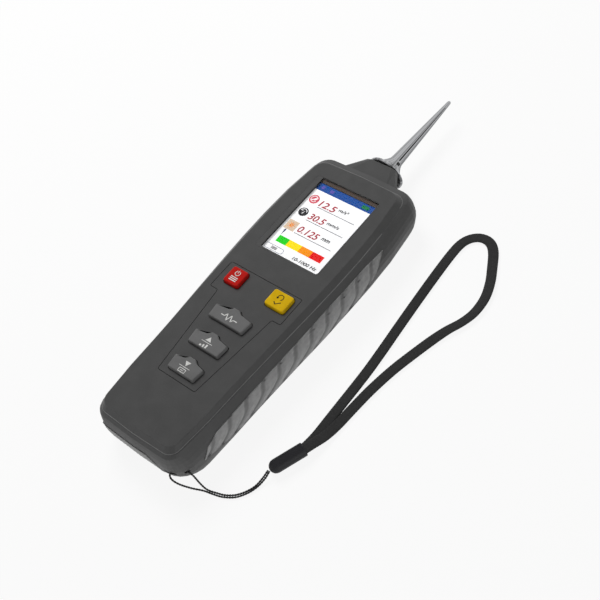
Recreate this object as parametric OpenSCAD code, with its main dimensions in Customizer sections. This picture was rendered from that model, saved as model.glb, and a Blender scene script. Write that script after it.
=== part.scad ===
// Handheld vibration meter with a spike probe, a colour display, five keys and a wrist strap.
// It lies on its back: +Z is the face's normal, +Y points to the probe, lengths in millimetres.

/* [Casing] */
// Length of the casing without its nose
body_len = 190; // [188:0.5:192]
// Distance from the origin to the foot end
foot_len = 91.5; // [90:0.5:93]
// Greatest width, beside the display
head_w = 73; // [71:0.2:75]
// Width near the foot end
foot_w = 62.2; // [61:0.2:64]
// Thickness from the back to the face
body_t = 28; // [27.6:0.1:29]
// Height of the joint between the two shells
split_z = 13; // [12.8:0.1:13.4]
// Wall of the shells
wall = 2.2; // [1.8:0.1:2.4]
// Wall under the face panel
face_wall = 2; // [1.8:0.1:2.2]
// Loss of width towards the head end, on each side
head_pinch = 3.8; // [3:0.2:4.2]
// Loss of width towards the foot end, on each side
foot_pinch = 3.2; // [2:0.2:3.6]
// Bulge of the casing's two ends
end_bulge = 1; // [0.5:0.1:1.6]
// Plan radius of the foot corners
foot_r = 11.5; // [10:0.5:13]
// Plan radius of the head corners
head_r = 12; // [10:0.5:14]

/* [Nose] */
// Length of the nose beyond the casing
nose_len = 8.6; // [8:0.2:10]
// Half width of the nose's top edge where it leaves the casing
nose_base_half = 15.8; // [14.6:0.2:17]
// Half width of the nose's top edge at its tip
nose_tip_half = 10.4; // [10:0.2:12]
// Drop of the nose's top from the face at its root
nose_base_drop = 5.4; // [5.2:0.1:6]
// Drop of the nose's top from the face at its tip
nose_tip_drop = 6.2; // [6:0.2:7]
// Height of the probe's axis above the back
axis_z = 12.4; // [12.2:0.1:12.6]

/* [Display] */
// Width of the picture area of a 2.4 inch display
active_w = 36.72; // [36:0.12:38]
// Height of the picture area
active_h = 48.96; // [48:0.12:50]
// Distance from the casing's head end to the picture's middle
active_drop = 45.5; // [44.5:0.2:46.5]
// Width of the display module
module_w = 42.72; // [42:0.12:44]
// Length of the display module
module_h = 60.26; // [59:0.12:61]
// Thickness of the display module
module_t = 2.5; // [2.2:0.1:2.8]
// Thickness of the window lens
lens_t = 1.2; // [1:0.1:1.3]

/* [Keys] */
// Height of a key above the face
key_rise = 2; // [1.4:0.1:2.6]
// Travel of a key
key_travel = 0.8; // [0.5:0.05:0.9]
// Gap between a key and the keypad plate
key_gap = 0.35; // [0.25:0.05:0.45]
// Thickness of the keypad plate, flush with the face
plate_t = 1; // [0.8:0.1:1.2]
// Gap round the keypad plate, seen as a thin line
plate_gap = 0.3; // [0.2:0.05:0.4]
// Width of the power key
power_w = 10; // [9:0.2:11]
// Width of the enter key
enter_w = 12.4; // [11:0.2:13]
// Height of the power and enter keys in plan
square_h = 10.2; // [9:0.2:11]
// Width of the measure key at its top edge
measure_w = 23.6; // [22:0.2:25]
// Width of the up key at its top edge
up_w = 21.2; // [20:0.2:22]
// Width of the down key at its top edge
down_w = 18.6; // [18:0.2:20]
// Height of the three wide keys in plan
wide_h = 7.6; // [7:0.1:8]
// Height of the raised step in the middle of a wide key's top edge
step_h = 2.6; // [2:0.1:3]

/* [Power] */
// Diameter of one cell, size AAA
cell_d = 10.5; // [10.3:0.1:10.6]
// Length of one cell with its terminal
cell_len = 44.5; // [43.5:0.5:44.5]
// Diameter of a cell's positive terminal
cell_tip_d = 3.8; // [3.4:0.1:4]
// Length of a cell's positive terminal
cell_tip_len = 1; // [0.8:0.1:1.2]
// Thickness of the battery cover
cover_t = 1.8; // [1.6:0.1:2]
// Half width of the battery cover without its tongues
cover_half = 23.6; // [23.4:0.1:23.8]

/* [Sensor] */
// Outer diameter of the sensor's case
sensor_d = 14.8; // [14:0.1:15]
// Length of the sensor's case without its boss
sensor_len = 17; // [16:0.2:17.4]
// Diameter of the boss that shows through the nose
boss_d = 10; // [9:0.2:10.4]

/* [Probe] */
// Diameter of the probe's flared foot
flare_d = 22.4; // [21:0.2:23]
// Length of the flare
flare_len = 10.2; // [9:0.2:12]
// Diameter of the spike where it leaves the flare
spike_d = 7.4; // [6:0.2:8]
// Diameter of the spike at its tip
tip_d = 2; // [1.6:0.1:2.6]
// Length of the spike
spike_len = 51.5; // [45:0.5:60]
// Diameter of the probe's stud, thread M5
stud_d = 4.9; // [4.7:0.05:4.9]
// Length of the stud
stud_len = 8; // [7:0.5:8.5]
// Diameter of the cross hole for a tightening pin
pin_hole_d = 1.9; // [1.5:0.1:2.2]

/* [Grips] */
// Thickness of a soft grip in its pocket
grip_t = 1.1; // [0.9:0.1:1.2]
// Height of a grip above the casing's skin
grip_proud = 0.4; // [0.2:0.1:0.6]

/* [Lanyard] */
// Diameter of the string
string_d = 1; // [0.9:0.1:1.2]
// Width of the woven strap
strap_w = 5; // [4:0.2:6]
// Thickness of the woven strap
strap_t = 1.6; // [1.4:0.1:1.8]
// Diameter of the bead
bead_d = 7; // [6.5:0.1:7.5]
// Length of the bead
bead_len = 18.8; // [18:0.2:20]

/* [Hidden] */

// One overrun for all cuts, one clearance for parts that lie side by side
over = 1;
fit_gap = 0.3;
slide_gap = 0.15;
thin = 0.01;
head_len = body_len - foot_len;
active_y = head_len - active_drop;
foot_half = foot_w / 2;
head_half = head_w / 2;
// Smooth widening from the foot to the head, in shares of half the length
taper_share = [-0.8, 0.5];
pinch_share = [0.68, 0.54];
side_n = 9;
corner_n = 6;
smooth_fn = 48;
fine_fn = 32;

// Each ring of the casing: height, side inset at the foot and the head, end inset at both ends
shoulder_z = body_t - 4.8;
ledge_z = body_t - 3;
panel_edge = 0.3;
shoulder_in = [2.7, 3.4];
ledge_in = [3.5, 4.3];
ledge_w = 0.6;
panel_in = [5.4, 7.4];
shoulder_end = [1.6, 2.8];
ledge_end = [2.8, 6.4];
panel_end = [5.6, 8.8];
back_in = [3.4, 6.2];
back_end = [4.6, 8.4];
rear_z_share = [0, 0.06, 0.2, 0.4, 0.62, 1];
rear_in_share = [1, 0.82, 0.56, 0.3, 0.12, 0];
front_z_share = [0, 0.3, 0.6, 0.82, 1];
front_in_share = [0, 0.06, 0.3, 0.64, 1];

function unit(v) = v / max(norm(v), thin * thin);
function smooth(t) = t <= 0 ? 0 : t >= 1 ? 1 : t * t * (3 - 2 * t);
function mix(a, b, t) = a + (b - a) * t;
function pinch(t, start) = let (u = max(0, t - start) / (1 - start)) u * u;
function half_at(y, side) = mix(foot_half - side[0], head_half - side[1],
    smooth((y / foot_len - taper_share[0]) / (taper_share[1] - taper_share[0])))
    - foot_pinch * pinch(-y / foot_len, pinch_share[0]) - head_pinch * pinch(y / foot_len, pinch_share[1]);
// Quarter of a rounded end: s is 1 at the head and -1 at the foot, a runs from 0 to 90 degrees
function end_point(s, a, side, end, r) =
    let (y0 = (s > 0 ? head_len : foot_len) - end - end_bulge - r, h = half_at(s * y0, side),
         x = h - r + r * cos(a))
    [x, s * (y0 + sin(a) * (r + end_bulge * (1 - x * x / (h * h))))];
function side_points(side, end, rf, rh) =
    let (y0 = -(foot_len - end[0] - end_bulge - rf), y1 = head_len - end[1] - end_bulge - rh)
    [for (j = [1 : side_n - 1]) let (y = mix(y0, y1, j / side_n)) [half_at(y, side), y]];
function half_outline(side, end, rf, rh) = concat(
    [for (j = [0 : corner_n]) end_point(-1, 90 - 90 * j / corner_n, side, end[0], rf)],
    side_points(side, end, rf, rh),
    [for (j = [0 : corner_n]) end_point(1, 90 * j / corner_n, side, end[1], rh)],
    [[0, head_len - end[1]]]);
// Closed plan outline of the casing, counter-clockwise from its foot corner
function outline(side, end, shrink) =
    let (rf = foot_r - shrink, rh = head_r - shrink, right = half_outline(side, end, rf, rh),
         n = len(right))
    concat(right, [for (j = [n - 2 : -1 : 0]) [-right[j][0], right[j][1]]],
        [[0, -(foot_len - end[0])]]);
function ring(z, side, end, shrink) = [for (p = outline(side, end, shrink)) [p[0], p[1], z]];
function grow(v, d) = [v[0] + d, v[1] + d];
corner_shrink = [-2, 5, 6, 6.5];

// Rings of the rear half, from the back face up, all moved inwards by d
function rear_rings(d) = [for (i = [0 : len(rear_z_share) - 1])
    ring(split_z * rear_z_share[i] + d * (1 - rear_z_share[i]),
        grow(back_in * rear_in_share[i], d), grow(back_end * rear_in_share[i], d),
        corner_shrink[0] * rear_in_share[i])];
// Rings of the flank, from the joint up to the shoulder
function flank_rings(d) = [for (i = [1 : 4])
    ring(mix(split_z, shoulder_z, front_z_share[i]),
        grow(shoulder_in * front_in_share[i], d), grow(shoulder_end * front_in_share[i], d),
        corner_shrink[1] * front_in_share[i])];
// Rings of the two steps between the shoulder and the face
function face_rings() = [
    ring(ledge_z - panel_edge, ledge_in, ledge_end, corner_shrink[1]),
    ring(ledge_z, grow(ledge_in, ledge_w), grow(ledge_end, ledge_w), corner_shrink[2]),
    ring(body_t - panel_edge, panel_in, panel_end, corner_shrink[3]),
    ring(body_t, grow(panel_in, panel_edge), grow(panel_end, panel_edge), corner_shrink[3])];

// Solid through a list of rings with equal counts, counter-clockwise seen from the last one
module skin(rings) {
    n = len(rings[0]);
    m = len(rings);
    polyhedron(
        points = [for (r = rings) each r],
        faces = concat(
            [[for (i = [0 : n - 1]) i]],
            [for (k = [0 : m - 2], i = [0 : n - 1]) each [
                [k * n + i, (k + 1) * n + i, (k + 1) * n + (i + 1) % n],
                [k * n + i, (k + 1) * n + (i + 1) % n, k * n + (i + 1) % n]]],
            [[for (i = [n - 1 : -1 : 0]) (m - 1) * n + i]]),
        convexity = 8);
}

// Outline with each corner rounded to radius r, and an outline moved outwards by d
arc_n = 3;
function corner(a, b, c, r) =
    let (u = unit(a - b), v = unit(c - b), half = acos(u * v) / 2, axis = b + unit(u + v) * r / sin(half),
         p = b + u * r / tan(half) - axis, q = b + v * r / tan(half) - axis,
         sweep = (180 - 2 * half) * sign(p[0] * q[1] - p[1] * q[0]))
    [for (j = [0 : arc_n]) let (w = sweep * j / arc_n)
        axis + [p[0] * cos(w) - p[1] * sin(w), p[0] * sin(w) + p[1] * cos(w)]];
function round_corners(points, r) = let (n = len(points))
    [for (i = [0 : n - 1]) each corner(points[(i + n - 1) % n], points[i], points[(i + 1) % n], r)];
function outward(a, b) = let (d = unit(b - a)) [d[1], -d[0]];
function spread(points, d) = let (n = len(points)) [for (i = [0 : n - 1])
    let (m = outward(points[(i + n - 1) % n], points[i]), k = outward(points[i], points[(i + 1) % n]))
    points[i] + (m + k) * d / (1 + m * k)];
function level(points, z) = [for (p = points) [p[0], p[1], z]];

// Box between two corners
module block(low, high) {
    translate(low) cube(high - low);
}

// Cylinder along Y from y0 to y1 round a point in X and Z
module rod_y(x, z, y0, y1, r, fn = smooth_fn) {
    translate([x, y0, z]) rotate([-90, 0, 0]) cylinder(r = r, h = y1 - y0, $fn = fn);
}

// Cylinder along X from x0 to x1 round a point in Y and Z
module rod_x(y, z, x0, x1, r, fn = fine_fn) {
    translate([x0, y, z]) rotate([0, 90, 0]) cylinder(r = r, h = x1 - x0, $fn = fn);
}

module mirrored() {
    children();
    mirror([1, 0, 0]) children();
}

// Nose: sections across Y between the casing and its tip, wider at the top
nose_root = 7;
nose_y0 = head_len - nose_root;
nose_y1 = head_len + nose_len;
nose_crown = 1;
nose_crown_w = [5.6, 3.6];
nose_lean = [1.4, 1.8];
nose_low_lean = [5.2, 4.4];
nose_low_z = [1.8, 2.2];
nose_chamfer = 2;
nose_edge = 0.8;
nose_stations = [[nose_y0, -nose_root / (nose_len - nose_edge), 0], [nose_y1 - nose_edge, 1, 0], [nose_y1, 1, nose_edge]];
function nose_half(t) = mix(nose_base_half, nose_tip_half, t);
function nose_top(t) = body_t - mix(nose_base_drop, nose_tip_drop, t);
function nose_upper(y, t, d) =
    let (h = nose_half(t) - d, z = nose_top(t) - d, a = h - mix(nose_lean[0], nose_lean[1], t),
         c = h - mix(nose_crown_w[0], nose_crown_w[1], t))
    [[a, y, split_z], [-a, y, split_z], [-h, y, z - nose_crown - nose_chamfer],
     [nose_crown - h, y, z - nose_crown], [-c, y, z], [c, y, z], [h - nose_crown, y, z - nose_crown],
     [h, y, z - nose_crown - nose_chamfer]];
function nose_lower(y, t, d) =
    let (a = nose_half(t) - d - mix(nose_lean[0], nose_lean[1], t),
         b = a - mix(nose_low_lean[0], nose_low_lean[1], t), z = mix(nose_low_z[0], nose_low_z[1], t) + d,
         m = (a * 2 + b) / 3)
    [[b, y, z], [-b, y, z], [-m, y, z + nose_chamfer * 2], [-a, y, split_z], [a, y, split_z],
     [m, y, z + nose_chamfer * 2]];

// Sensor bore through the nose
sensor_r = sensor_d / 2;
sensor_y1 = nose_y1 - 3.8;
sensor_y0 = sensor_y1 - sensor_len;
module nose_bore() {
    rod_y(0, axis_z, sensor_y0 - over, sensor_y1 + fit_gap, sensor_r + slide_gap);
    rod_y(0, axis_z, sensor_y1, nose_y1 + over, boss_d / 2 + fit_gap);
}

// Grip pockets, drawn as regions in the side view and the end view
grip_y_share = [-0.83, -0.78, -0.7, 0.2, 0.52, 0.66, 0.63, 0.5, 0.1, -0.6];
grip_z_share = [0.78, 1.26, 1.48, 1.66, 1.66, 1.56, 1.44, 0.78, 0.46, 0.46];
module side_region(gap) {
    rotate([90, 0, 90]) linear_extrude(head_w)
        offset(delta = gap)
            polygon([for (i = [0 : len(grip_y_share) - 1])
                [foot_len * grip_y_share[i], split_z * grip_z_share[i]]]);
}
foot_x_share = [-0.78, -0.72, 0.28, 0.42, 0.5, -0.6];
foot_z_share = [0.7, 1.34, 1.34, 1.06, 0.42, 0.42];
foot_band = 14;
module foot_region(gap) {
    translate([0, foot_band - foot_len, 0]) rotate([90, 0, 0])
        linear_extrude(foot_band + over + grip_proud)
            offset(delta = gap)
                polygon([for (i = [0 : len(foot_x_share) - 1])
                    [foot_half * foot_x_share[i], split_z * foot_z_share[i]]]);
}
// Casing without the steps of its face, moved inwards by d
module hull_body(d) {
    skin(concat(rear_rings(d), flank_rings(d)));
}
module pockets() {
    difference() {
        union() {
            mirrored() side_region(0);
            foot_region(0);
        }
        hull_body(grip_t);
    }
}

// Screw places
screw_head_y = active_y + 17;
screw_foot_y = active_y - 72.5;
case_screws_at = [[head_half - 9.8, screw_head_y], [foot_half - 6.7, screw_foot_y]];
board_screws_at = [[21.4, active_y - 36.5], [20.4, active_y - 79]];
boss_r = 2.8;
seat_wall = 1;
boss_z = 5;
pilot_r = 1.05;
screw_r = 1;
head_screw_r = 2.2;
screw_head_t = 1.5;
screw_seat_z = 2.7;
head_recess_r = head_screw_r + fit_gap;
screw_top_z = 15;
board_z = body_t - 13.3;
board_t = 1.6;
board_top = board_z + board_t;
inner_z = body_t - face_wall;

// Window and lens
lens_margin = 2.3;
window_margin = 0.9;
lens_r = 2;
module rounded(w, h, r) {
    offset(r = r, $fn = fine_fn) square([w - 2 * r, h - 2 * r], center = true);
}
module plate_at(y, z0, z1) {
    translate([0, y, z0]) linear_extrude(z1 - z0) children();
}

// Keypad plate: corners of its right half in plan, top to bottom
plate_top_y = active_y - 41.2;
plate_notch_y = plate_top_y - 17.4;
plate_bottom_y = plate_top_y - 68.2;
plate_half = 23.6;
plate_neck_half = 18.2;
plate_foot_half = 12.6;
plate_corner_r = 1;
plate_right = [[plate_foot_half, plate_bottom_y], [plate_neck_half, plate_notch_y],
    [plate_half, plate_notch_y], [plate_half, plate_top_y]];
plate_plan = round_corners(concat(plate_right,
    [for (j = [len(plate_right) - 1 : -1 : 0]) [-plate_right[j][0], plate_right[j][1]]]),
    plate_corner_r);

// Keys: centre in plan
power_at = [-14.2, plate_top_y - 7];
enter_at = [14.6, plate_top_y - 7];
measure_at = [0, plate_top_y - 28.2];
up_at = [0, plate_top_y - 44.8];
down_at = [0, plate_top_y - 61.1];
key_r = 1.4;
wide_r = 0.8;
wide_taper = 0.85;
crown = 1;
step_foot = 3.9;
step_top = 1.8;
key_flange = 1.1;
flange_t = 1;
key_top = body_t + key_rise;
key_edge = 0.6;
key_draft = 0.15;
flange_top = inner_z - fit_gap;
flange_z = flange_top - flange_t;
plunger_r = 1.6;
plunger_len = 3.2;
switch_w = 6.6;
switch_h = 5.6;
switch_top = board_top + switch_h;
mat_t = 0.7;
mat_collar_h = 1.1;
mat_collar_r = 3.2;

function square_key(w) = let (h = square_h / 2, v = w / 2)
    round_corners([[-v, -h], [v, -h], [v, h], [-v, h]], key_r);
// Wide key in plan: tapered towards the foot, with a crowned top edge and a raised step
function wide_key(w) = let (h = wide_h / 2, v = w / 2)
    round_corners([[wide_taper - v, -h], [v - wide_taper, -h], [v, h],
        [step_foot, h + crown], [step_top, h + step_h], [-step_top, h + step_h],
        [-step_foot, h + crown], [-v, h]], wide_r);
keys_at = [power_at, enter_at, measure_at, up_at, down_at];
keys_plan = [square_key(power_w), square_key(enter_w), wide_key(measure_w), wide_key(up_w),
    wide_key(down_w)];
module key_holes(z0, z1, gap) {
    for (i = [0 : 4]) translate([keys_at[i][0], keys_at[i][1], z0]) linear_extrude(z1 - z0)
        polygon(spread(keys_plan[i], gap));
}
// Cap with a chamfered top edge, a flange under the shell and a plunger for its switch
module key(i) {
    plan = keys_plan[i];
    translate(keys_at[i]) {
        skin([level(plan, flange_z + flange_t - thin), level(plan, body_t),
            level(spread(plan, -key_draft), key_top - key_edge),
            level(spread(plan, -key_draft - key_edge * 0.3), key_top - key_edge * 0.3),
            level(spread(plan, -key_draft - key_edge), key_top)]);
        block([min([for (p = plan) p[0]]) - key_flange, min([for (p = plan) p[1]]) - key_flange,
            flange_z], [max([for (p = plan) p[0]]) + key_flange,
            max([for (p = plan) p[1]]) + key_flange, flange_z + flange_t]);
        translate([0, 0, flange_z - plunger_len])
            cylinder(r = plunger_r, h = plunger_len + thin, $fn = fine_fn);
    }
}

// Battery bay
cell_pitch = cell_d + 0.3;
cells_half = 1.5 * cell_pitch + cell_d / 2;
cell_z = 8;
bay_half = cells_half + 0.5;
contact_gap = 1.4;
bay_y0 = -foot_len + 14.2;
bay_y1 = bay_y0 + cell_len + 2 * contact_gap;
bay_wall = 1.2;
rim_t = 1.9;
rim_half = cover_half + 1.6;
rim_end = 2.6;
cover_y1 = bay_y1 + rim_end;
recess_z = cover_t + slide_gap;
tongue_w = 1;
tongue_z = 0.7;
tongue_t = 0.7;

// Lanyard passage round a post in the right foot corner
post_z = 11.2;
lace_r = 1.3;
lace_y = -foot_len + 6.4;
lace_x = [18.6, 23];
lace_top = 5.5;
corner_block = [16, 10.4];

module front_shell() {
    color("#4d4d4d") difference() {
        union() {
            difference() {
                union() {
                    skin(concat([ring(split_z, [0, 0], [0, 0], 0)], flank_rings(0), face_rings()));
                    skin([for (s = nose_stations) nose_upper(s[0], s[1], s[2])]);
                }
                skin(concat([ring(split_z - over, [wall, wall], [wall, wall], 0)],
                    [for (r = flank_rings(wall)) [for (p = r) [p[0], p[1], min(p[2], inner_z)]]],
                    [ring(inner_z, grow(panel_in, wall), grow(panel_end, wall), corner_shrink[3])]));
            }
            mirrored() for (p = case_screws_at)
                translate([p[0], p[1], boss_z]) cylinder(r = boss_r, h = inner_z - boss_z + thin,
                    $fn = fine_fn);
            mirrored() for (p = board_screws_at)
                translate([p[0], p[1], board_top])
                    cylinder(r = boss_r - fit_gap, h = inner_z - board_top + thin, $fn = fine_fn);
        }
        mirrored() for (p = case_screws_at)
            translate([p[0], p[1], boss_z - over])
                cylinder(r = pilot_r, h = screw_top_z - boss_z + 2 * over, $fn = fine_fn);
        mirrored() for (p = board_screws_at)
            translate([p[0], p[1], board_top - over])
                cylinder(r = pilot_r, h = boss_z + 2 * over, $fn = fine_fn);
        nose_bore();
        plate_at(active_y, inner_z - over, body_t + over)
            rounded(active_w + 2 * window_margin, active_h + 2 * window_margin, lens_r);
        plate_at(active_y, body_t - lens_t, body_t + over)
            rounded(active_w + 2 * lens_margin, active_h + 2 * lens_margin, lens_r);
        plate_at(0, body_t - plate_t, body_t + over) polygon(plate_plan);
        key_holes(inner_z - over, body_t, key_gap);
        pockets();
    }
}

module rear_shell() {
    color("#474747") difference() {
        union() {
            difference() {
                union() {
                    skin(rear_rings(0));
                    skin([for (s = nose_stations) nose_lower(s[0], s[1], s[2])]);
                }
                skin([ring(wall, back_in, back_end, corner_shrink[0]),
                    ring(split_z * rear_z_share[3], grow(back_in * rear_in_share[3], wall),
                        grow(back_end * rear_in_share[3], wall), 0),
                    ring(split_z + over, [wall, wall], [wall, wall], 0)]);
            }
            block([-rim_half, -foot_len + back_end[0], wall - thin],
                [rim_half, bay_y1 + rim_end + fit_gap, recess_z + rim_t]);
            difference() {
                block([-bay_half - bay_wall, bay_y0 - bay_wall, recess_z],
                    [bay_half + bay_wall, bay_y1 + bay_wall, board_z - fit_gap]);
                block([-bay_half, bay_y0, 0], [bay_half, bay_y1, board_z]);
            }
            mirrored() for (p = case_screws_at)
                translate([p[0], p[1], wall / 2])
                        cylinder(r = head_recess_r + seat_wall, h = boss_z - slide_gap - wall / 2,
                        $fn = fine_fn);
            intersection() {
                block([corner_block[0], -foot_len, recess_z],
                    [foot_half, corner_block[1] - foot_len, split_z - thin]);
                skin(rear_rings(thin));
            }
        }
        block([-bay_half, bay_y0, -over], [bay_half, bay_y1, board_z]);
        block([-cover_half - slide_gap, -foot_len - over, -over],
            [cover_half + slide_gap, cover_y1, recess_z]);
        block([-cover_half - tongue_w - slide_gap, -foot_len - over, tongue_z - slide_gap],
            [cover_half + tongue_w + slide_gap, cover_y1, tongue_z + tongue_t + slide_gap]);
        mirrored() for (p = case_screws_at) {
            translate([p[0], p[1], -over])
                cylinder(r = head_recess_r, h = screw_seat_z + over, $fn = fine_fn);
            translate([p[0], p[1], 0])
                cylinder(r = screw_r + fit_gap, h = boss_z + over, $fn = fine_fn);
        }
        nose_bore();
        for (x = lace_x) rod_y(x, post_z, -foot_len - over, lace_y + lace_r, lace_r, fine_fn);
        block([lace_x[0], -foot_len - over, post_z - lace_r], [lace_x[1], lace_y, post_z + lace_r]);
        rod_x(lace_y, post_z, lace_x[0], head_half, lace_r);
        pockets();
    }
}

module battery_cover() {
    rib_n = 5;
    rib_pitch = 2.4;
    rib_w = 1;
    rib_depth = 0.4;
    rib_half = 9;
    rib_y = bay_y0 + 6;
    color("#474747") difference() {
        union() {
            intersection() {
                block([-cover_half, -foot_len, 0],
                    [cover_half, cover_y1 - fit_gap, cover_t]);
                skin(rear_rings(0));
            }
            mirrored() block([cover_half - thin, bay_y0, tongue_z],
                [cover_half + tongue_w, cover_y1 - fit_gap, tongue_z + tongue_t]);
        }
        for (k = [0 : rib_n - 1])
            block([-rib_half, rib_y + k * rib_pitch, -over],
                [rib_half, rib_y + k * rib_pitch + rib_w, rib_depth]);
    }
}

module grip() {
    color("#848484") difference() {
        intersection() {
            children();
            hull_body(-grip_proud);
        }
        hull_body(grip_t);
    }
}
module right_grip() {
    grip() side_region(0);
}
module left_grip() {
    grip() mirror([1, 0, 0]) side_region(0);
}
module foot_grip() {
    grip() foot_region(0);
}

module keypad_plate() {
    color("#4b4b4b") difference() {
        plate_at(0, body_t - plate_t, body_t) polygon(spread(plate_plan, -plate_gap));
        key_holes(body_t - plate_t - over, body_t + over, key_gap);
    }
}

module display_lens() {
    color("#30363c") plate_at(active_y, body_t - lens_t, body_t)
        rounded(active_w + 2 * lens_margin - slide_gap, active_h + 2 * lens_margin - slide_gap, lens_r);
}

module_y = active_y - 1.6;
gasket_w = 1.3;
module_z = inner_z - 0.5 - module_t;
module display_gasket() {
    color("#202020") plate_at(active_y, module_z + module_t, inner_z) difference() {
        rounded(active_w + 2 * (window_margin + gasket_w), active_h + 2 * (window_margin + gasket_w), lens_r);
        rounded(active_w + 2 * window_margin, active_h + 2 * window_margin, lens_r);
    }
}

module display_module() {
    color("#dfe4e8") block([-module_w / 2, module_y - module_h / 2, module_z],
        [module_w / 2, module_y + module_h / 2, module_z + module_t]);
}

carrier_wall = 1.4;
carrier_rim = 1;
carrier_shelf = 2.2;
ribbon_w = 12;
module display_carrier() {
    w = module_w / 2 + slide_gap;
    h = module_h / 2 + slide_gap;
    color("#e8e8e4") difference() {
        block([-w - carrier_wall, module_y - h - carrier_wall, board_top],
            [w + carrier_wall, module_y + h + carrier_wall, module_z + carrier_rim]);
        block([-w, module_y - h, module_z], [w, module_y + h, inner_z]);
        block([-w + carrier_shelf, module_y - h + carrier_shelf, 0],
            [w - carrier_shelf, module_y + h - carrier_shelf, inner_z]);
        block([-ribbon_w, module_y - h - carrier_wall - over, board_top - over],
            [ribbon_w, module_y - h + carrier_shelf + over, inner_z]);
    }
}

// Flexible ribbon: from the lower edge of the module, down and back under it to the board
ribbon_t = 0.3;
ribbon_loop = 1.2;
module display_ribbon() {
    y0 = module_y - module_h / 2;
    color("#c98a2b") for (part = [
        [[y0 - ribbon_loop, module_z + ribbon_t], [y0, module_z + 2 * ribbon_t]],
        [[y0 - ribbon_loop, board_top], [y0 - ribbon_loop + ribbon_t, module_z + 2 * ribbon_t]],
        [[y0 - ribbon_loop, board_top], [y0 + ribbon_w, board_top + ribbon_t]]])
        block([-ribbon_w + over, part[0][0], part[0][1]], [ribbon_w - over, part[1][0], part[1][1]]);
}

module power_key() {
    color("#c8100a") key(0);
}
module enter_key() {
    color("#e2b814") key(1);
}
module measure_key() {
    color("#6e6e6e") key(2);
}
module up_key() {
    color("#6e6e6e") key(3);
}
module down_key() {
    color("#6e6e6e") key(4);
}

// Silicone mat over the switches: a collar round each plunger returns its key
module keypad_mat() {
    edge = 1.2;
    color("#8f9496") difference() {
        union() {
            translate([0, 0, switch_top]) linear_extrude(mat_t) hull() {
                for (p = keys_at) translate(p) square(switch_w + 2 * edge, center = true);
            }
            for (p = keys_at) translate([p[0], p[1], switch_top])
                cylinder(r = mat_collar_r, h = mat_t + mat_collar_h, $fn = fine_fn);
        }
        for (p = keys_at) translate([p[0], p[1], switch_top - over])
            cylinder(r = plunger_r + fit_gap, h = mat_t + mat_collar_h + 2 * over, $fn = fine_fn);
    }
}

module key_switches() {
    floor_t = 1.2;
    color("#26262a") for (p = keys_at) translate([p[0], p[1], board_top]) difference() {
        block([-switch_w / 2, -switch_w / 2, 0], [switch_w / 2, switch_w / 2, switch_h]);
        translate([0, 0, floor_t]) cylinder(r = plunger_r + slide_gap, h = switch_h, $fn = fine_fn);
    }
}

board_half = 23.3;
board_head_half = 22.6;
board_step_y = head_len - 38.5;
board_y = [bay_y0 + 17.3, head_len - 17.5];
module main_board() {
    color("#1f6b3a") difference() {
        translate([0, 0, board_z]) linear_extrude(board_t) polygon([
            [-board_half, board_y[0]], [board_half, board_y[0]], [board_half, board_step_y],
            [board_head_half, board_step_y], [board_head_half, board_y[1]],
            [-board_head_half, board_y[1]], [-board_head_half, board_step_y],
            [-board_half, board_step_y]]);
        mirrored() {
            for (p = board_screws_at) translate([p[0], p[1], 0])
                cylinder(r = screw_r + slide_gap, h = body_t, $fn = fine_fn);
            for (p = case_screws_at) translate([p[0], p[1], 0])
                cylinder(r = boss_r + fit_gap, h = body_t, $fn = fine_fn);
        }
    }
}

// Chips on the board's rear side: centre from the picture's middle, width, length and height
chips = [[0, -31, 14, 14, 1.4], [0, -9, 10, 10, 1.2], [-14, -13, 5, 6, 1.2], [14, -23, 6, 5, 1.6],
    [-14, -33, 5, 4, 1], [10, 9, 8, 5, 1.5], [-8, 9, 4, 5, 1.2]];
module board_chips() {
    color("#1c1c1e") for (c = chips)
        translate([c[0], active_y + c[1], board_z - c[4]])
            block([-c[2] / 2, -c[3] / 2, 0], [c[2] / 2, c[3] / 2, c[4]]);
}

crystal = [12, 3.8, 3.5];
crystal_at = [0, active_y - 46];
module quartz_crystal() {
    color("#b9bcc0") plate_at(crystal_at[1], board_z - crystal[2], board_z)
        rounded(crystal[0], crystal[1], crystal[1] / 2 - thin);
}

buzzer_r = 6;
buzzer_h = 7;
buzzer_at = [-12, active_y - 65];
buzzer_hole_r = 1.2;
module buzzer() {
    color("#161616") translate([buzzer_at[0], buzzer_at[1], board_z - buzzer_h]) difference() {
        cylinder(r = buzzer_r, h = buzzer_h, $fn = smooth_fn);
        translate([0, 0, -over]) cylinder(r = buzzer_hole_r, h = over * 2, $fn = fine_fn);
    }
}

module cell(i) {
    x = (i - 1.5) * cell_pitch;
    up = i % 2;
    y0 = bay_y0 + contact_gap;
    y1 = bay_y1 - contact_gap;
    rod_y(x, cell_z, y0 + (1 - up) * cell_tip_len, y1 - up * cell_tip_len, cell_d / 2);
    if (up == 1) rod_y(x, cell_z, y1 - cell_tip_len - thin, y1, cell_tip_d / 2);
    else rod_y(x, cell_z, y0, y0 + cell_tip_len + thin, cell_tip_d / 2);
}
module battery_cells() {
    color("#2f6f9f") for (i = [0 : 3]) cell(i);
}

// Sprung contact plates at both ends of the bay, touching wall and cell
contact_w = 7;
contact_t = 0.4;
contact_half_h = 3.6;
module contact(x, s) {
    y0 = s > 0 ? bay_y1 : bay_y0;
    translate([x, y0, cell_z]) rotate([0, 0, s > 0 ? 180 : 0]) {
        block([-contact_w / 2, 0, -contact_half_h], [contact_w / 2, contact_t, contact_half_h]);
        translate([-contact_t * 2, 0, 0]) rotate([90, 0, 90]) linear_extrude(contact_t * 4)
            polygon([[contact_t / 2, contact_half_h], [contact_gap, 0],
                [contact_t / 2, -contact_half_h]]);
    }
}
module battery_contacts() {
    color("#c9ccd0") for (i = [0 : 3], s = [-1, 1]) contact((i - 1.5) * cell_pitch, s);
}

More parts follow.
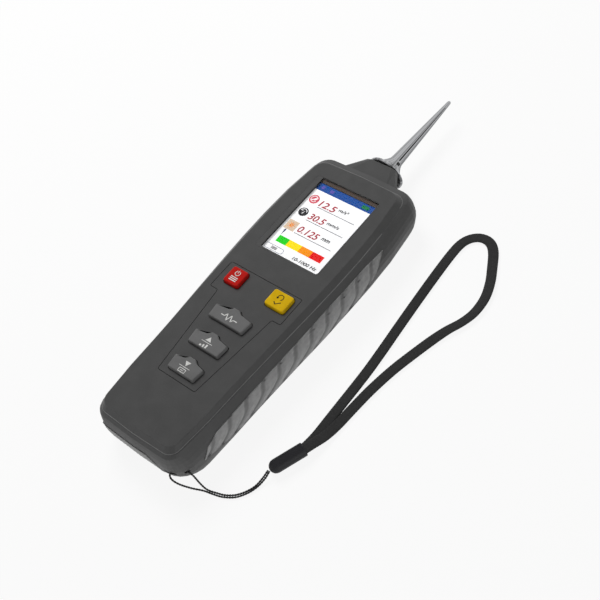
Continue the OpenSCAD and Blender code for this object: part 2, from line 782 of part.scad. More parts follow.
// Accelerometer in the nose: stainless case, closed at its rear by a cap
case_wall = 1.3;
cap_t = 1.4;
cavity_len = 10;
bolt_r = 1.5;
ring_t = 1.1;
ring_r = 4.6;
mass_r = 5.4;
mass_len = 4.4;
thread_r = 2.5;
cable_r = 0.9;
module along_axis(y) {
    translate([0, y, axis_z]) rotate([-90, 0, 0]) children();
}
module sensor_case() {
    color("#b7babd") difference() {
        union() {
            along_axis(sensor_y0) cylinder(r = sensor_r, h = sensor_len, $fn = smooth_fn);
            along_axis(sensor_y1 - thin) cylinder(r = boss_d / 2, h = nose_y1 - sensor_y1 + fit_gap,
                $fn = smooth_fn);
        }
        along_axis(sensor_y0 - over)
            cylinder(r = sensor_r - case_wall, h = cavity_len + over, $fn = smooth_fn);
        along_axis(sensor_y0 + cavity_len - over)
            cylinder(r = bolt_r + slide_gap, h = 3 * over, $fn = fine_fn);
        along_axis(nose_y1 - stud_len - over)
            cylinder(r = thread_r, h = stud_len + 3 * over, $fn = fine_fn);
    }
}
module sensor_cap() {
    color("#a9acb0") along_axis(sensor_y0) difference() {
        cylinder(r = sensor_r - case_wall, h = cap_t, $fn = smooth_fn);
        translate([0, sensor_r / 2, -over])
            cylinder(r = cable_r + slide_gap, h = cap_t + 2 * over, $fn = fine_fn);
    }
}
piezo_y = sensor_y0 + cavity_len - 2 * ring_t;
module piezo_rings() {
    color("#cdbb8a") for (k = [0, 1]) along_axis(piezo_y + k * ring_t) difference() {
        cylinder(r = ring_r, h = ring_t, $fn = smooth_fn);
        translate([0, 0, -over]) cylinder(r = bolt_r + slide_gap, h = 3 * over, $fn = fine_fn);
    }
}
mass_y = piezo_y - mass_len;
module seismic_mass() {
    color("#6f6a62") along_axis(mass_y) difference() {
        cylinder(r = mass_r, h = mass_len, $fn = smooth_fn);
        translate([0, 0, -over])
            cylinder(r = bolt_r + slide_gap, h = mass_len + 2 * over, $fn = fine_fn);
    }
}
bolt_head_r = 2.6;
bolt_head_t = 1.4;
module sensor_bolt() {
    color("#8d9094") {
        along_axis(mass_y - bolt_head_t) cylinder(r = bolt_head_r, h = bolt_head_t, $fn = 6);
        along_axis(mass_y - thin) cylinder(r = bolt_r, h = mass_len + 2 * ring_t + over, $fn = fine_fn);
    }
}

// Lead from the sensor's cap to its socket on the board
socket_at = [0, head_len - 24.5];
socket_size = [7, 5, 3];
module cable_socket() {
    color("#efe9d8") block([socket_at[0] - socket_size[0] / 2, socket_at[1] - socket_size[1] / 2,
        board_z - socket_size[2]], [socket_at[0] + socket_size[0] / 2,
        socket_at[1] + socket_size[1] / 2, board_z]);
}
module sensor_cable() {
    z = axis_z - sensor_r / 2;
    y0 = socket_at[1] + socket_size[1] / 2;
    socket_z = board_z - socket_size[2] / 2;
    bend_y = (y0 + sensor_y0) / 2;
    color("#7a1f1f") {
        rod_y(0, z, bend_y, sensor_y0 + cap_t, cable_r, fine_fn);
        translate([0, bend_y, z]) sphere(r = cable_r, $fn = fine_fn);
        translate([0, bend_y, z]) cylinder(r = cable_r, h = socket_z - z, $fn = fine_fn);
        translate([0, bend_y, socket_z]) sphere(r = cable_r, $fn = fine_fn);
        rod_y(0, socket_z, y0, bend_y, cable_r, fine_fn);
    }
}

// Probe: M5 stud, flared foot and long spike, turned from one bar
probe_y = nose_y1 + fit_gap;
flare_edge = 1.2;
flare_r = flare_d / 2;
spike_r = spike_d / 2;
tip_r = tip_d / 2;
flare_z_share = [0, 0.18, 0.4, 0.65, 0.85, 1];
flare_r_share = [0.86, 0.62, 0.37, 0.16, 0.05, 0];
tip_n = 5;
pin_angle = 33;
pin_share = 0.8;
module probe() {
    color("#c3c6c9") difference() {
        along_axis(probe_y) rotate_extrude($fn = smooth_fn) polygon(concat(
            [[0, -stud_len], [stud_d / 2, -stud_len], [stud_d / 2, 0], [flare_r, 0],
             [flare_r, flare_edge]],
            [for (i = [0 : len(flare_z_share) - 1])
                [mix(spike_r, flare_r, flare_r_share[i]),
                 mix(flare_edge, flare_len, flare_z_share[i])]],
            [for (i = [0 : tip_n]) let (a = 90 * i / tip_n)
                [tip_r * cos(a), flare_len + spike_len - tip_r + tip_r * sin(a)]]));
        along_axis(probe_y + flare_len * pin_share) rotate([0, 0, -pin_angle])
            rotate([0, 90, 0]) translate([0, 0, -flare_r])
                cylinder(r = pin_hole_d / 2, h = flare_d, $fn = fine_fn);
    }
}

module case_screws() {
    color("#9a9c9e") mirrored() for (p = case_screws_at) translate([p[0], p[1], 0]) difference() {
        union() {
            translate([0, 0, screw_seat_z - screw_head_t])
                cylinder(r = head_screw_r, h = screw_head_t, $fn = fine_fn);
            translate([0, 0, screw_seat_z - thin])
                cylinder(r = screw_r, h = screw_top_z - screw_seat_z, $fn = fine_fn);
        }
        for (a = [0, 90]) rotate([0, 0, a])
            block([-screw_r, -fit_gap, 0], [screw_r, fit_gap, screw_seat_z - screw_head_t / 2]);
    }
}

board_screw_len = 5;
board_head_t = 1.3;
board_head_r = 1.9;
module board_screws() {
    color("#9a9c9e") mirrored() for (p = board_screws_at) translate([p[0], p[1], board_z]) {
        translate([0, 0, -board_head_t]) cylinder(r = board_head_r, h = board_head_t, $fn = fine_fn);
        translate([0, 0, -thin]) cylinder(r = screw_r, h = board_screw_len, $fn = fine_fn);
    }
}

// Lanyard: a thin string looped round the post, a bead, and a flat woven strap on the floor
string_route = [[56.4, -61.3, 3.2], [56.2, -65.3, 1.6], [55.4, -70.3, 0.8], [53.4, -75.3, 0.6], [50.0, -79.9,
    0.6], [45.0, -83.1, 0.6], [40.0, -84.7, 0.6], [35.0, -86.1, 1], [30.5, -88.9, 3.4], [27, -91.8,
    9.0], [23, -92, 10.8], [20.8, -89.6, 11.1], [20.8, -86.4, 11.2], [23, -85, 11.2], [27, -85,
    11.2], [31, -85, 10.6], [33.4, -84.9, 4.2], [36.6, -84.7, 1.4], [41.0, -83.3, 0.6], [45.4,
    -81.7, 0.6], [49.4, -78.9, 0.6], [52.4, -74.9, 0.6], [54.4, -70.3, 0.8], [55.4, -65.7, 2.2],
    [56.0, -61.7, 4.2]];
strap_route = [[62.2, -44.3, 2.6], [62.4, -39.3, 1.8], [62.4, -33.3, 1], [62.2, -25.3, 0.9], [62.0, -15.3,
    0.9], [61.8, -3.3, 0.9], [61.4, 8.7, 0.9], [60.4, 22.7, 0.9], [59.2, 36.7, 0.9], [57.8, 54.7,
    0.9], [56.6, 72.7, 0.9], [56.0, 86.7, 0.9], [56.4, 94.7, 0.9], [58.4, 99.7, 0.9], [62.0, 102.9,
    0.9], [66.2, 103.7, 0.9], [70.2, 102.3, 0.9], [74.0, 98.3, 0.9], [78.4, 90.7, 0.9], [83.0, 81.7,
    0.9], [86.0, 72.3, 0.9], [86.4, 62.7, 0.9], [84.4, 54.7, 0.9], [81.0, 47.3, 0.9], [78.4, 40.1,
    0.9], [75.0, 28.1, 0.9], [71.6, 14.3, 0.9], [69.2, -0.3, 0.9], [68.0, -13.3, 0.9], [67.2, -24.3,
    1], [66.2, -32.3, 1.8], [64.6, -39.3, 3.4], [63.4, -44.3, 4.4]];
bead_axis_z = 3.5;
bead_from = [56.1, -60.9];
bead_to = [63, -43.5];
tube_n = 8;
function flat_left(t) = unit([-t[1], t[0], 0]);
// Rings of a tube along a route: half width a lies level, half height b stands across it
function tube_rings(route, a, b) = let (last = len(route) - 1) [for (i = [0 : last])
    let (t = unit(route[min(i + 1, last)] - route[max(i - 1, 0)]), s = flat_left(t),
         u = cross(t, s))
    [for (k = [0 : tube_n - 1]) let (w = 360 * (k + 0.5) / tube_n)
        route[i] + s * (a * cos(w) / cos(180 / tube_n)) + u * (b * sin(w) / cos(180 / tube_n))]];

module lanyard_string() {
    color("#1c1c1c") skin(tube_rings(string_route, string_d / 2 * cos(180 / tube_n),
        string_d / 2 * cos(180 / tube_n)));
}
module wrist_strap() {
    color("#343434") skin(tube_rings(strap_route, strap_w / 2, strap_t / 2));
}
module lanyard_bead() {
    d = bead_to - bead_from;
    bead_r = bead_d / 2;
    color("#262626") translate([bead_from[0], bead_from[1], bead_axis_z])
        rotate([-90, 0, -atan2(d[0], d[1])]) rotate_extrude($fn = smooth_fn)
            polygon(concat([[0, bead_len], [0, 0]],
                [for (i = [1 : tip_n]) let (w = 90 * i / tip_n)
                    [bead_r * sin(w), bead_r * (1 - cos(w))]],
                [[bead_r, bead_len - panel_edge], [bead_r - panel_edge, bead_len]]));
}

front_shell();
rear_shell();
battery_cover();
left_grip();
right_grip();
foot_grip();
keypad_plate();
display_lens();
display_gasket();
display_module();
display_carrier();
display_ribbon();
power_key();
enter_key();
measure_key();
up_key();
down_key();
keypad_mat();
key_switches();
main_board();
board_chips();
quartz_crystal();
buzzer();
battery_cells();
battery_contacts();
sensor_case();
sensor_cap();
piezo_rings();
seismic_mass();
sensor_bolt();
sensor_cable();
cable_socket();
probe();
case_screws();
board_screws();
lanyard_string();
lanyard_bead();
wrist_strap();
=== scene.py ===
import math

import bmesh
import bpy
import numpy as np
from mathutils import Matrix, Vector

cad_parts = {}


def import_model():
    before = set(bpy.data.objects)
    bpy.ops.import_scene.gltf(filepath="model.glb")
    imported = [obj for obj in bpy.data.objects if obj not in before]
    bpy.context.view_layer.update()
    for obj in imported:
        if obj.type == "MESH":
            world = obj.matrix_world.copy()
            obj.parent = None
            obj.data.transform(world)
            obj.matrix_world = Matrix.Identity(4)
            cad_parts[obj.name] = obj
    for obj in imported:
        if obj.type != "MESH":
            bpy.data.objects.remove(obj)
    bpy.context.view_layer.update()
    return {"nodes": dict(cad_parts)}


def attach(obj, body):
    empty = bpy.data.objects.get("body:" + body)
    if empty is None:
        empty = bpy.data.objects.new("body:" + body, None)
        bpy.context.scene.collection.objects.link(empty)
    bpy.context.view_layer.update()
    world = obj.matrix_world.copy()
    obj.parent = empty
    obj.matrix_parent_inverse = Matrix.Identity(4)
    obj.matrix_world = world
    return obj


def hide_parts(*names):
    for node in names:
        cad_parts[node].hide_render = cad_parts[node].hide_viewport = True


mm = 0.001  # every size below is in millimetres unless its name says otherwise
weld = 0.002  # corners of a solid's loose triangles that lie this close are joined


def linear(hexText):
    values = [int(hexText[i:i + 2], 16) / 255 for i in (1, 3, 5)]
    return [v / 12.92 if v <= 0.04045 else ((v + 0.055) / 1.055) ** 2.4 for v in values] + [1]


def addNode(tree, kind, links=(), **values):
    node = tree.nodes.new(kind)
    for key, value in values.items():
        if key.startswith("in"):
            node.inputs[int(key[2:])].default_value = value
        else:
            setattr(node, key, value)
    for target, source in links:
        tree.links.new(source, node.inputs[target])
    return node


# how each finish drifts: the stretch of the noise that is used, and the change of gloss with it
drift = dict(noise=(0.3, 0.7), gloss=(-0.05, 0.07), detail=4)


def finish(name, colour, other, rough, size=3, grain=None, stretch=(1, 1, 1), metallic=0,
           specular=0.5, glow=0):
    # colour drifts to other over patches of this size, and the gloss drifts with it;
    # grain is the size and the height of the surface's own bumps
    mat = bpy.data.materials.new(name)
    mat.use_nodes = True
    tree = mat.node_tree
    shader = tree.nodes["Principled BSDF"]
    shader.inputs["Metallic"].default_value = metallic
    shader.inputs["Specular IOR Level"].default_value = specular
    coords = addNode(tree, "ShaderNodeTexCoord")
    place = addNode(tree, "ShaderNodeMapping", [(0, coords.outputs["Object"])], in3=stretch)
    patches = addNode(tree, "ShaderNodeTexNoise", [(0, place.outputs[0])])
    patches.inputs["Scale"].default_value = 1 / (size * mm)
    patches.inputs["Detail"].default_value = drift["detail"]
    low, high = drift["noise"]
    spread = addNode(tree, "ShaderNodeMapRange", [(0, patches.outputs["Fac"])], in1=low, in2=high)
    colours = addNode(tree, "ShaderNodeMix", [(0, spread.outputs[0])], data_type="RGBA",
                      in6=linear(colour), in7=linear(other))
    gloss = addNode(tree, "ShaderNodeMapRange", [(0, patches.outputs["Fac"])], in1=low, in2=high,
                    in3=rough + drift["gloss"][0], in4=rough + drift["gloss"][1])
    tree.links.new(colours.outputs[2], shader.inputs["Base Color"])
    tree.links.new(gloss.outputs[0], shader.inputs["Roughness"])
    if glow:
        tree.links.new(colours.outputs[2], shader.inputs["Emission Color"])
        shader.inputs["Emission Strength"].default_value = glow
    if grain:
        bumps = addNode(tree, "ShaderNodeTexNoise", [(0, place.outputs[0])])
        bumps.inputs["Scale"].default_value = 1 / (grain[0] * mm)
        relief = addNode(tree, "ShaderNodeBump", [("Height", bumps.outputs["Fac"])])
        relief.inputs["Distance"].default_value = grain[1] * mm
        tree.links.new(relief.outputs["Normal"], shader.inputs["Normal"])
    return mat


def linkObject(name, data):
    obj = bpy.data.objects.new(name, data)
    bpy.context.scene.collection.objects.link(obj)
    return obj


def meshObject(name, verts, faces, mats, smooth=False, body="casing"):
    mesh = bpy.data.meshes.new(name)
    mesh.from_pydata([[c * mm for c in v] for v in verts], [], faces)
    mesh.validate()
    for m in mats if isinstance(mats, list) else [mats]:
        mesh.materials.append(m)
    if smooth:
        mesh.shade_smooth()
    obj = linkObject(name, mesh)
    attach(obj, body)
    return obj


def weldedCopy(node):
    work = bmesh.new()
    work.from_mesh(node.data)
    bmesh.ops.remove_doubles(work, verts=work.verts, dist=weld * mm)
    return work


def startTree(name, inputs, output):
    tree = bpy.data.node_groups.new(name, "GeometryNodeTree")
    sockets = {}
    for key, kind in inputs:
        sockets[key] = tree.interface.new_socket(name=key, in_out="INPUT",
                                                 socket_type="NodeSocket" + kind).identifier
    tree.interface.new_socket(name=output, in_out="OUTPUT", socket_type="NodeSocketGeometry")
    return tree, sockets, addNode(tree, "NodeGroupInput")


def endTree(tree, given, shape):
    real = addNode(tree, "GeometryNodeRealizeInstances", [(0, shape)])
    painted = addNode(tree, "GeometryNodeSetMaterial", [("Geometry", real.outputs[0]),
                                                        ("Material", given.outputs["Finish"])])
    addNode(tree, "NodeGroupOutput", [(0, painted.outputs[0])])


def bakeTree(name, mesh, tree, sockets, settings):
    # the inputs are set by their sockets' identifiers, and what comes out is a plain mesh
    holder = linkObject(name, mesh)
    modifier = holder.modifiers.new(tree.name, "NODES")
    modifier.node_group = tree
    for key, value in settings.items():
        modifier[sockets[key]] = value
    graph = bpy.context.evaluated_depsgraph_get()
    baked = bpy.data.meshes.new_from_object(holder.evaluated_get(graph))
    bpy.data.objects.remove(holder)
    baked.shade_smooth()
    return baked


# the camera stands where the photograph's did
camera = dict(place=(279.9, -170.6, 434.8), right=(0.7583, 0.6194, -0.2032),
              up=(-0.4179, 0.7011, 0.5777), back=(0.5004, -0.3532, 0.7905), lens=63.64, sensor=36)


def makeCamera():
    data = bpy.data.cameras.new("camera")
    data.lens, data.sensor_width = camera["lens"], camera["sensor"]
    obj = linkObject("camera", data)
    axes = Matrix([camera["right"], camera["up"], camera["back"]]).transposed().to_4x4()
    obj.matrix_world = Matrix.Translation(Vector(camera["place"]) * mm) @ axes
    bpy.context.scene.camera = obj


# the wrist strap and the lanyard string lie along the solids' own routes;
# the strap's weave and the string's twist are drawn as coarse as they need to show
cordFloor = 0.05  # no cord reaches lower than this
strap = dict(width=5.5, thick=1.6, step=0.26, around=36, square=(0.5, 0.8), weaveLength=1.5,
             weaveAround=10, weaveHeight=0.11, roll=13, rollFrom=(82, 83), rollTo=(84.4, 54.7),
             rollEase=22,
             route=[(62.2, -44.3, 2.6), (62.4, -39.3, 1.8), (62.4, -33.3, 1), (62.2, -25.3, 0.9),
                    (62, -15.3, 0.9), (61.8, -3.3, 0.9), (61.4, 8.7, 0.9), (60.4, 22.7, 0.9),
                    (59.2, 36.7, 0.9), (57.8, 54.7, 0.9), (56.6, 72.7, 0.9), (56, 86.7, 0.9),
                    (56.4, 94.7, 0.9), (58.4, 99.7, 0.9), (62, 102.9, 0.9), (66.2, 103.7, 0.9),
                    (70.2, 102.3, 0.9), (74, 98.3, 0.9), (78.4, 90.7, 0.9), (83, 81.7, 0.9),
                    (86, 72.3, 0.9), (86.4, 62.7, 0.9), (84.4, 54.7, 0.9), (81, 47.3, 0.9),
                    (78.4, 40.1, 0.9), (75, 28.1, 0.9), (71.6, 14.3, 0.9), (69.2, -0.3, 0.9),
                    (68, -13.3, 0.9), (67.2, -24.3, 1), (66.2, -32.3, 1.8), (64.6, -39.3, 3.4),
                    (63.4, -44.3, 4.4)])
string = dict(width=1, step=0.14, around=14, twist=2.6, waist=0.3, pinch=3,
              route=[(56.4, -61.3, 3.2), (56.2, -65.3, 1.6), (55.4, -70.3, 0.8),
                     (53.4, -75.3, 0.6), (50, -79.9, 0.6), (45, -83.1, 0.6), (40, -84.7, 0.6),
                     (35, -86.1, 1), (30.5, -88.9, 3.4), (27, -91.8, 9), (23, -92, 10.8),
                     (20.8, -89.6, 11.1), (20.8, -86.4, 11.2), (23, -85, 11.2), (27, -85, 11.2),
                     (31, -85, 10.6), (33.4, -84.9, 4.2), (36.6, -84.7, 1.4), (41, -83.3, 0.6),
                     (45.4, -81.7, 0.6), (49.4, -78.9, 0.6), (52.4, -74.9, 0.6),
                     (54.4, -70.3, 0.8), (55.4, -65.7, 2.2), (56, -61.7, 4.2)])


def smoothRoute(points, step, pieces=24):
    points = np.array(points, float)
    ends = np.vstack([2 * points[0] - points[1], points, 2 * points[-1] - points[-2]])
    fine = []
    for i in range(1, len(ends) - 2):
        a, b, c, d = ends[i - 1:i + 3]
        for t in np.linspace(0, 1, pieces, endpoint=False):
            fine.append(0.5 * (2 * b + (c - a) * t + (2 * a - 5 * b + 4 * c - d) * t * t
                               + (3 * b - a - 3 * c + d) * t ** 3))
    fine.append(points[-1])
    fine = np.array(fine)
    along = np.concatenate([[0], np.cumsum(np.linalg.norm(np.diff(fine, axis=0), axis=1))])
    places = np.linspace(0, along[-1], int(along[-1] / step) + 1)
    return np.column_stack([np.interp(places, along, fine[:, k]) for k in range(3)]), places


def sweep(name, path, section, mat, roll=None):
    tangent = np.gradient(path, axis=0)
    tangent /= np.linalg.norm(tangent, axis=1)[:, None]
    side = np.column_stack([-tangent[:, 1], tangent[:, 0], 0 * tangent[:, 0]])
    side /= np.linalg.norm(side, axis=1)[:, None]
    rise = np.cross(tangent, side)
    if roll is not None:
        c, s = np.cos(roll)[:, None], np.sin(roll)[:, None]
        side, rise = side * c + rise * s, rise * c - side * s
    count = section.shape[1]
    rings = (path[:, None, :] + side[:, None, :] * section[:, :, :1]
             + rise[:, None, :] * section[:, :, 1:])
    rings[:, :, 2] += np.maximum(cordFloor - rings[:, :, 2].min(axis=1), 0)[:, None]
    faces = []
    for k in range(len(path) - 1):
        for i in range(count):
            j = (i + 1) % count
            faces.append((k * count + i, (k + 1) * count + i, (k + 1) * count + j,
                          k * count + j))
    faces.append(tuple(range(count)))
    faces.append(tuple(reversed(range((len(path) - 1) * count, len(path) * count))))
    return meshObject(name, rings.reshape(-1, 3).tolist(), faces, mat, smooth=True)


def strapRoll(path, along):
    # the strap leans a little as it comes back from its far bend, and lies flat elsewhere
    marks = [along[np.argmin(np.linalg.norm(path[:, :2] - np.array(strap[k]), axis=1))]
             for k in ("rollFrom", "rollTo")]
    ease = strap["rollEase"]
    up = np.clip((along - marks[0] + ease) / ease, 0, 1)
    down = np.clip((marks[1] + ease - along) / ease, 0, 1)
    share = np.minimum(up, down)
    return np.radians(strap["roll"]) * share * share * (3 - 2 * share)


def makeString(mat):
    path, along = smoothRoute(string["route"], string["step"])
    turn = np.linspace(0, 2 * math.pi, string["around"], endpoint=False)
    spin = along[:, None] * 2 * math.pi / string["twist"]
    between = np.abs(np.sin(turn[None, :] - spin)) ** string["pinch"]  # where the strands meet
    radius = string["width"] / 2 * (1 - string["waist"] * between)
    section = np.stack([radius * np.cos(turn), radius * np.sin(turn)], axis=2)
    thread = sweep("lanyardString", path, section, mat)
    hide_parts("lanyard_string")


def makeStrap(mat):
    path, along = smoothRoute(strap["route"], strap["step"])
    turn = np.linspace(0, 2 * math.pi, strap["around"], endpoint=False)
    across = np.sign(np.cos(turn)) * np.abs(np.cos(turn)) ** strap["square"][0]
    high = np.sign(np.sin(turn)) * np.abs(np.sin(turn)) ** strap["square"][1]
    run = along[:, None] / strap["weaveLength"]
    lap = turn[None, :] / (2 * math.pi) * strap["weaveAround"]
    weave = np.sqrt(np.abs(np.sin(math.pi * (run + lap)) * np.sin(math.pi * (run - lap))))
    a = strap["width"] / 2 - strap["weaveHeight"] * (1 - weave)
    b = strap["thick"] / 2 - strap["weaveHeight"] * (1 - weave)
    section = np.stack([a * across, b * high], axis=2)
    webbing = sweep("wristStrap", path, section, mat, strapRoll(path, along))
    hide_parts("wrist_strap")


# flat printing is outlines laid on a plane
def flat(name, outlines, z, mat, body="casing"):
    verts, faces = [], []
    for outline in outlines:
        start = len(verts)
        verts += [(x, y, z) for x, y in outline]
        faces.append(tuple(range(start, len(verts))))
    return meshObject(name, verts, faces, mat, body=body)


def moved(outlines, dx, dy):
    return [[(x + dx, y + dy) for x, y in outline] for outline in outlines]


def rect(x0, x1, y0, y1):
    return [(x0, y0), (x1, y0), (x1, y1), (x0, y1)]


def arc(cx, cy, r, start, end, steps=32):
    return [(cx + r * math.cos(math.radians(start + (end - start) * i / steps)),
             cy + r * math.sin(math.radians(start + (end - start) * i / steps)))
            for i in range(steps + 1)]


def band(cx, cy, r, width, start, end, steps=40):
    outer = arc(cx, cy, r + width / 2, start, end, steps)
    inner = arc(cx, cy, r - width / 2, start, end, steps)
    return [[outer[i], outer[i + 1], inner[i + 1], inner[i]] for i in range(steps)]


def frameLine(x0, x1, y0, y1, r, line, steps=6):
    corners = [(x1 - r, y1 - r, 0), (x0 + r, y1 - r, 90), (x0 + r, y0 + r, 180),
               (x1 - r, y0 + r, 270)]
    outer = [p for cx, cy, a in corners for p in arc(cx, cy, r, a, a + 90, steps)]
    inner = [p for cx, cy, a in corners for p in arc(cx, cy, r - line, a, a + 90, steps)]
    n = len(outer)
    return [[outer[i], outer[(i + 1) % n], inner[(i + 1) % n], inner[i]] for i in range(n)]


def polyline(points, width):
    strokes = []
    for (ax, ay), (bx, by) in zip(points, points[1:]):
        length = math.hypot(bx - ax, by - ay)
        nx, ny = (ay - by) / length * width / 2, (bx - ax) / length * width / 2
        strokes.append([(ax + nx, ay + ny), (ax - nx, ay - ny), (bx - nx, by - ny),
                        (bx + nx, by + ny)])
    return strokes


def star(cx, cy, inner, outer, spread, count):
    return [[(cx + inner * math.cos(a + spread), cy + inner * math.sin(a + spread)),
             (cx + outer * math.cos(a), cy + outer * math.sin(a)),
             (cx + inner * math.cos(a - spread), cy + inner * math.sin(a - spread))]
            for a in [2 * math.pi * i / count for i in range(count)]]


def lettering(name, text, x, y, z, mat, slant, stroke):
    # the letters fill the box x by y, and lean by slant
    curve = bpy.data.curves.new(name, "FONT")
    curve.body = text
    curve.offset = stroke
    holder = linkObject(name, curve)
    bpy.context.view_layer.update()
    graph = bpy.context.evaluated_depsgraph_get()
    mesh = bpy.data.meshes.new_from_object(holder.evaluated_get(graph))
    bpy.data.objects.remove(holder)
    co = np.array([v.co for v in mesh.vertices], float)
    low, high = co.min(0), co.max(0)
    share = (co - low) / np.maximum(high - low, 1e-9)  # a letter has no height of its own
    height = y[1] - y[0]
    width = x[1] - x[0] - slant * height
    for v, s in zip(mesh.vertices, share):
        v.co = ((x[0] + s[0] * width + s[1] * height * slant) * mm,
                (y[0] + s[1] * height) * mm, z * mm)
    mesh.materials.clear()
    mesh.materials.append(mat)
    mesh.name = name
    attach(linkObject(name, mesh), "casing")


# the lit display: its glass, its picture, and painted shade on the window recess's walls above it
screen = dict(z=26.45, layer=0.12, shift=(0.57, -0.4), x=(-18.36, 18.36), y=(28.52, 77.48),
              headerY=72.85, slant=0.2, stroke=0.014, underline=(-8.9, 15.3), underlineThick=0.28,
              glass=(-19.1, 19.1, 27.75, 78.25), glassZ=(26.05, 26.33))
inks = {"white": ("#ffffff", "#fbfcff", 0.35), "blue": ("#1458b0", "#1a4a9a", 0.1),
        "red": ("#b82436", "#c23a48", 0.05), "black": ("#101014", "#1c1c22", 0.02),
        "grey": ("#4a4a52", "#5a5a62", 0.05), "rose": ("#e0485e", "#e86a7a", 0.1),
        "cream": ("#f3dcc4", "#ecd0b0", 0.1), "green": ("#10d810", "#22c81e", 0.3),
        "yellow": ("#ffe600", "#f6d400", 0.35), "orange": ("#ff9a00", "#f28a00", 0.3),
        "signal red": ("#f00000", "#dc0a06", 0.3), "navy": ("#20305a", "#2a3c6c", 0.05),
        "violet": ("#6a58b4", "#5a5cc0", 0.08), "leaf": ("#0d7a48", "#128a52", 0.08)}
header = dict(marks=[rect(-15.2, -13.4, 74.2, 76.2), rect(-9.4, -7.2, 74, 76)],
              cell=[rect(11.6, 15.6, 74, 76.2), rect(15.6, 16.1, 74.6, 75.6)])
rows = [dict(text="12.5", unit="m/s²", x=(-9.3, 1.5), y=(63.95, 68.05), unitX=(2.5, 8.8),
             unitY=(66.2, 68.3), lineY=62.95),
        dict(text="30.5", unit="mm/s", x=(-9, 1.6), y=(54.5, 58.6), unitX=(2.4, 10.4),
             unitY=(56.3, 58.3), lineY=53.3),
        dict(text="0.125", unit="mm", x=(-8.8, 4.7), y=(45, 49.2), unitX=(6.2, 11.6),
             unitY=(46.9, 48.6), lineY=43.6)]
bar = dict(y=(34.75, 38.95), edges=(-14.2, -7.5, 0.7, 8.0, 15.3),
           colours=("green", "yellow", "orange", "signal red"),
           pointer=[[(-14.7, 42.7), (-14.2, 39.3), (-13.7, 42.7)],
                    arc(-14.2, 43.1, 0.45, 0, 360, 16)])
menu = dict(box=(-17.6, -5.6, 28.95, 32.25), r=1.2, line=0.18,
            bars=[rect(-13.4, -9.8, y, y + 0.3) for y in (29.9, 30.5, 31.1)],
            text="10-1000 Hz", textX=(1.0, 16.6), textY=(29.6, 31.6))
icons = [("iconDisc", [arc(-13.6, 66.6, 2.9, 0, 360)], 1, "rose"),
         ("iconDiscWave", band(-13.6, 66.6, 1.9, 0.35, 20, 330)
          + [[(-14.9, 65.6), (-14.5, 65.2), (-12.2, 67.5), (-12.6, 67.9)],
             [(-13.4, 66.2), (-12.9, 65.8), (-11.9, 67.0), (-12.4, 67.4)]], 2, "white"),
         ("iconDial", [arc(-13.3, 57, 2.8, 0, 360)], 1, "black"),
         ("iconDialArc", band(-13.3, 57, 1.9, 0.4, 10, 170)
          + [[(-13.7, 55.6), (-13.1, 55.6), (-12.5, 58)], rect(-14.6, -13.9, 57.4, 57.9)],
          2, "white"),
         ("iconSquare", [rect(-16.3, -9.9, 43.7, 50.1)], 1, "cream"),
         ("iconSquareStar", star(-13.1, 46.9, 0.5, 2.5, 0.5, 8), 2, "orange")]
windowShadeSheets = dict(windowShadeTop=(rect(-17.5, 19.0, 77.12, 79.55), 26.93),
                  windowShadeLeft=(rect(-18.15, -17.78, 28.1, 77.1), 26.7))


def makePicture():
    # picture inks are light through a display's colour filters, so each glows a little
    ink = {name: finish("display filter " + name, colour, other, 0.45, size=1.2, specular=0.1,
                        glow=glow) for name, (colour, other, glow) in inks.items()}
    # ground float glass seen at its edge: nearly black, with a cool shine
    glass = finish("display glass edge", "#15171c", "#1f232b", 0.3, size=4)
    dx, dy = screen["shift"]
    (x0, x1), (y0, y1) = screen["x"], screen["y"]

    def put(name, outlines, layers, colour):
        flat(name, moved(outlines, dx, dy), screen["z"] + layers * screen["layer"], ink[colour])

    def write(name, text, x, y, colour):
        lettering(name, text, (x[0] + dx, x[1] + dx), (y[0] + dy, y[1] + dy),
                  screen["z"] + screen["layer"], ink[colour], screen["slant"], screen["stroke"])

    corners = [(x, y, h) for h in screen["glassZ"] for x, y in rect(*screen["glass"])]
    meshObject("pictureGlass", corners,
               [(3, 2, 1, 0), (4, 5, 6, 7), (0, 1, 5, 4), (1, 2, 6, 5), (2, 3, 7, 6), (3, 0, 4, 7)],
               glass)
    put("pictureGround", [rect(x0, x1, y0, screen["headerY"])], 0, "white")
    put("pictureHeader", [rect(x0, x1, screen["headerY"], y1)], 0, "blue")
    put("headerMarks", header["marks"], 1, "violet")
    put("headerCell", header["cell"], 1, "leaf")
    for i, row in enumerate(rows):
        write(f"reading{i}", row["text"], row["x"], row["y"], "red")
        write(f"unit{i}", row["unit"], row["unitX"], row["unitY"], "black")
    put("pictureLines", [rect(*screen["underline"], row["lineY"],
                              row["lineY"] + screen["underlineThick"]) for row in rows], 1, "grey")
    for i, colour in enumerate(bar["colours"]):
        put(f"barPart{i}", [rect(bar["edges"][i], bar["edges"][i + 1], *bar["y"])], 1, colour)
    put("barPointer", bar["pointer"], 1, "navy")
    put("pictureMenu", frameLine(*menu["box"], menu["r"], menu["line"]), 1, "navy")
    put("pictureMenuBars", menu["bars"], 1, "black")
    write("pictureRange", menu["text"], menu["textX"], menu["textY"], "black")
    for icon in icons:
        put(*icon)
    # painted shade on the window recess's walls: dull, dark brown where it meets the lit header
    wallShade = finish("painted shade on the window's recess walls", "#3b302a", "#4a3a30", 0.5, size=5)
    for name, (outline, z) in windowShadeSheets.items():
        flat(name, [outline], z, wallShade)


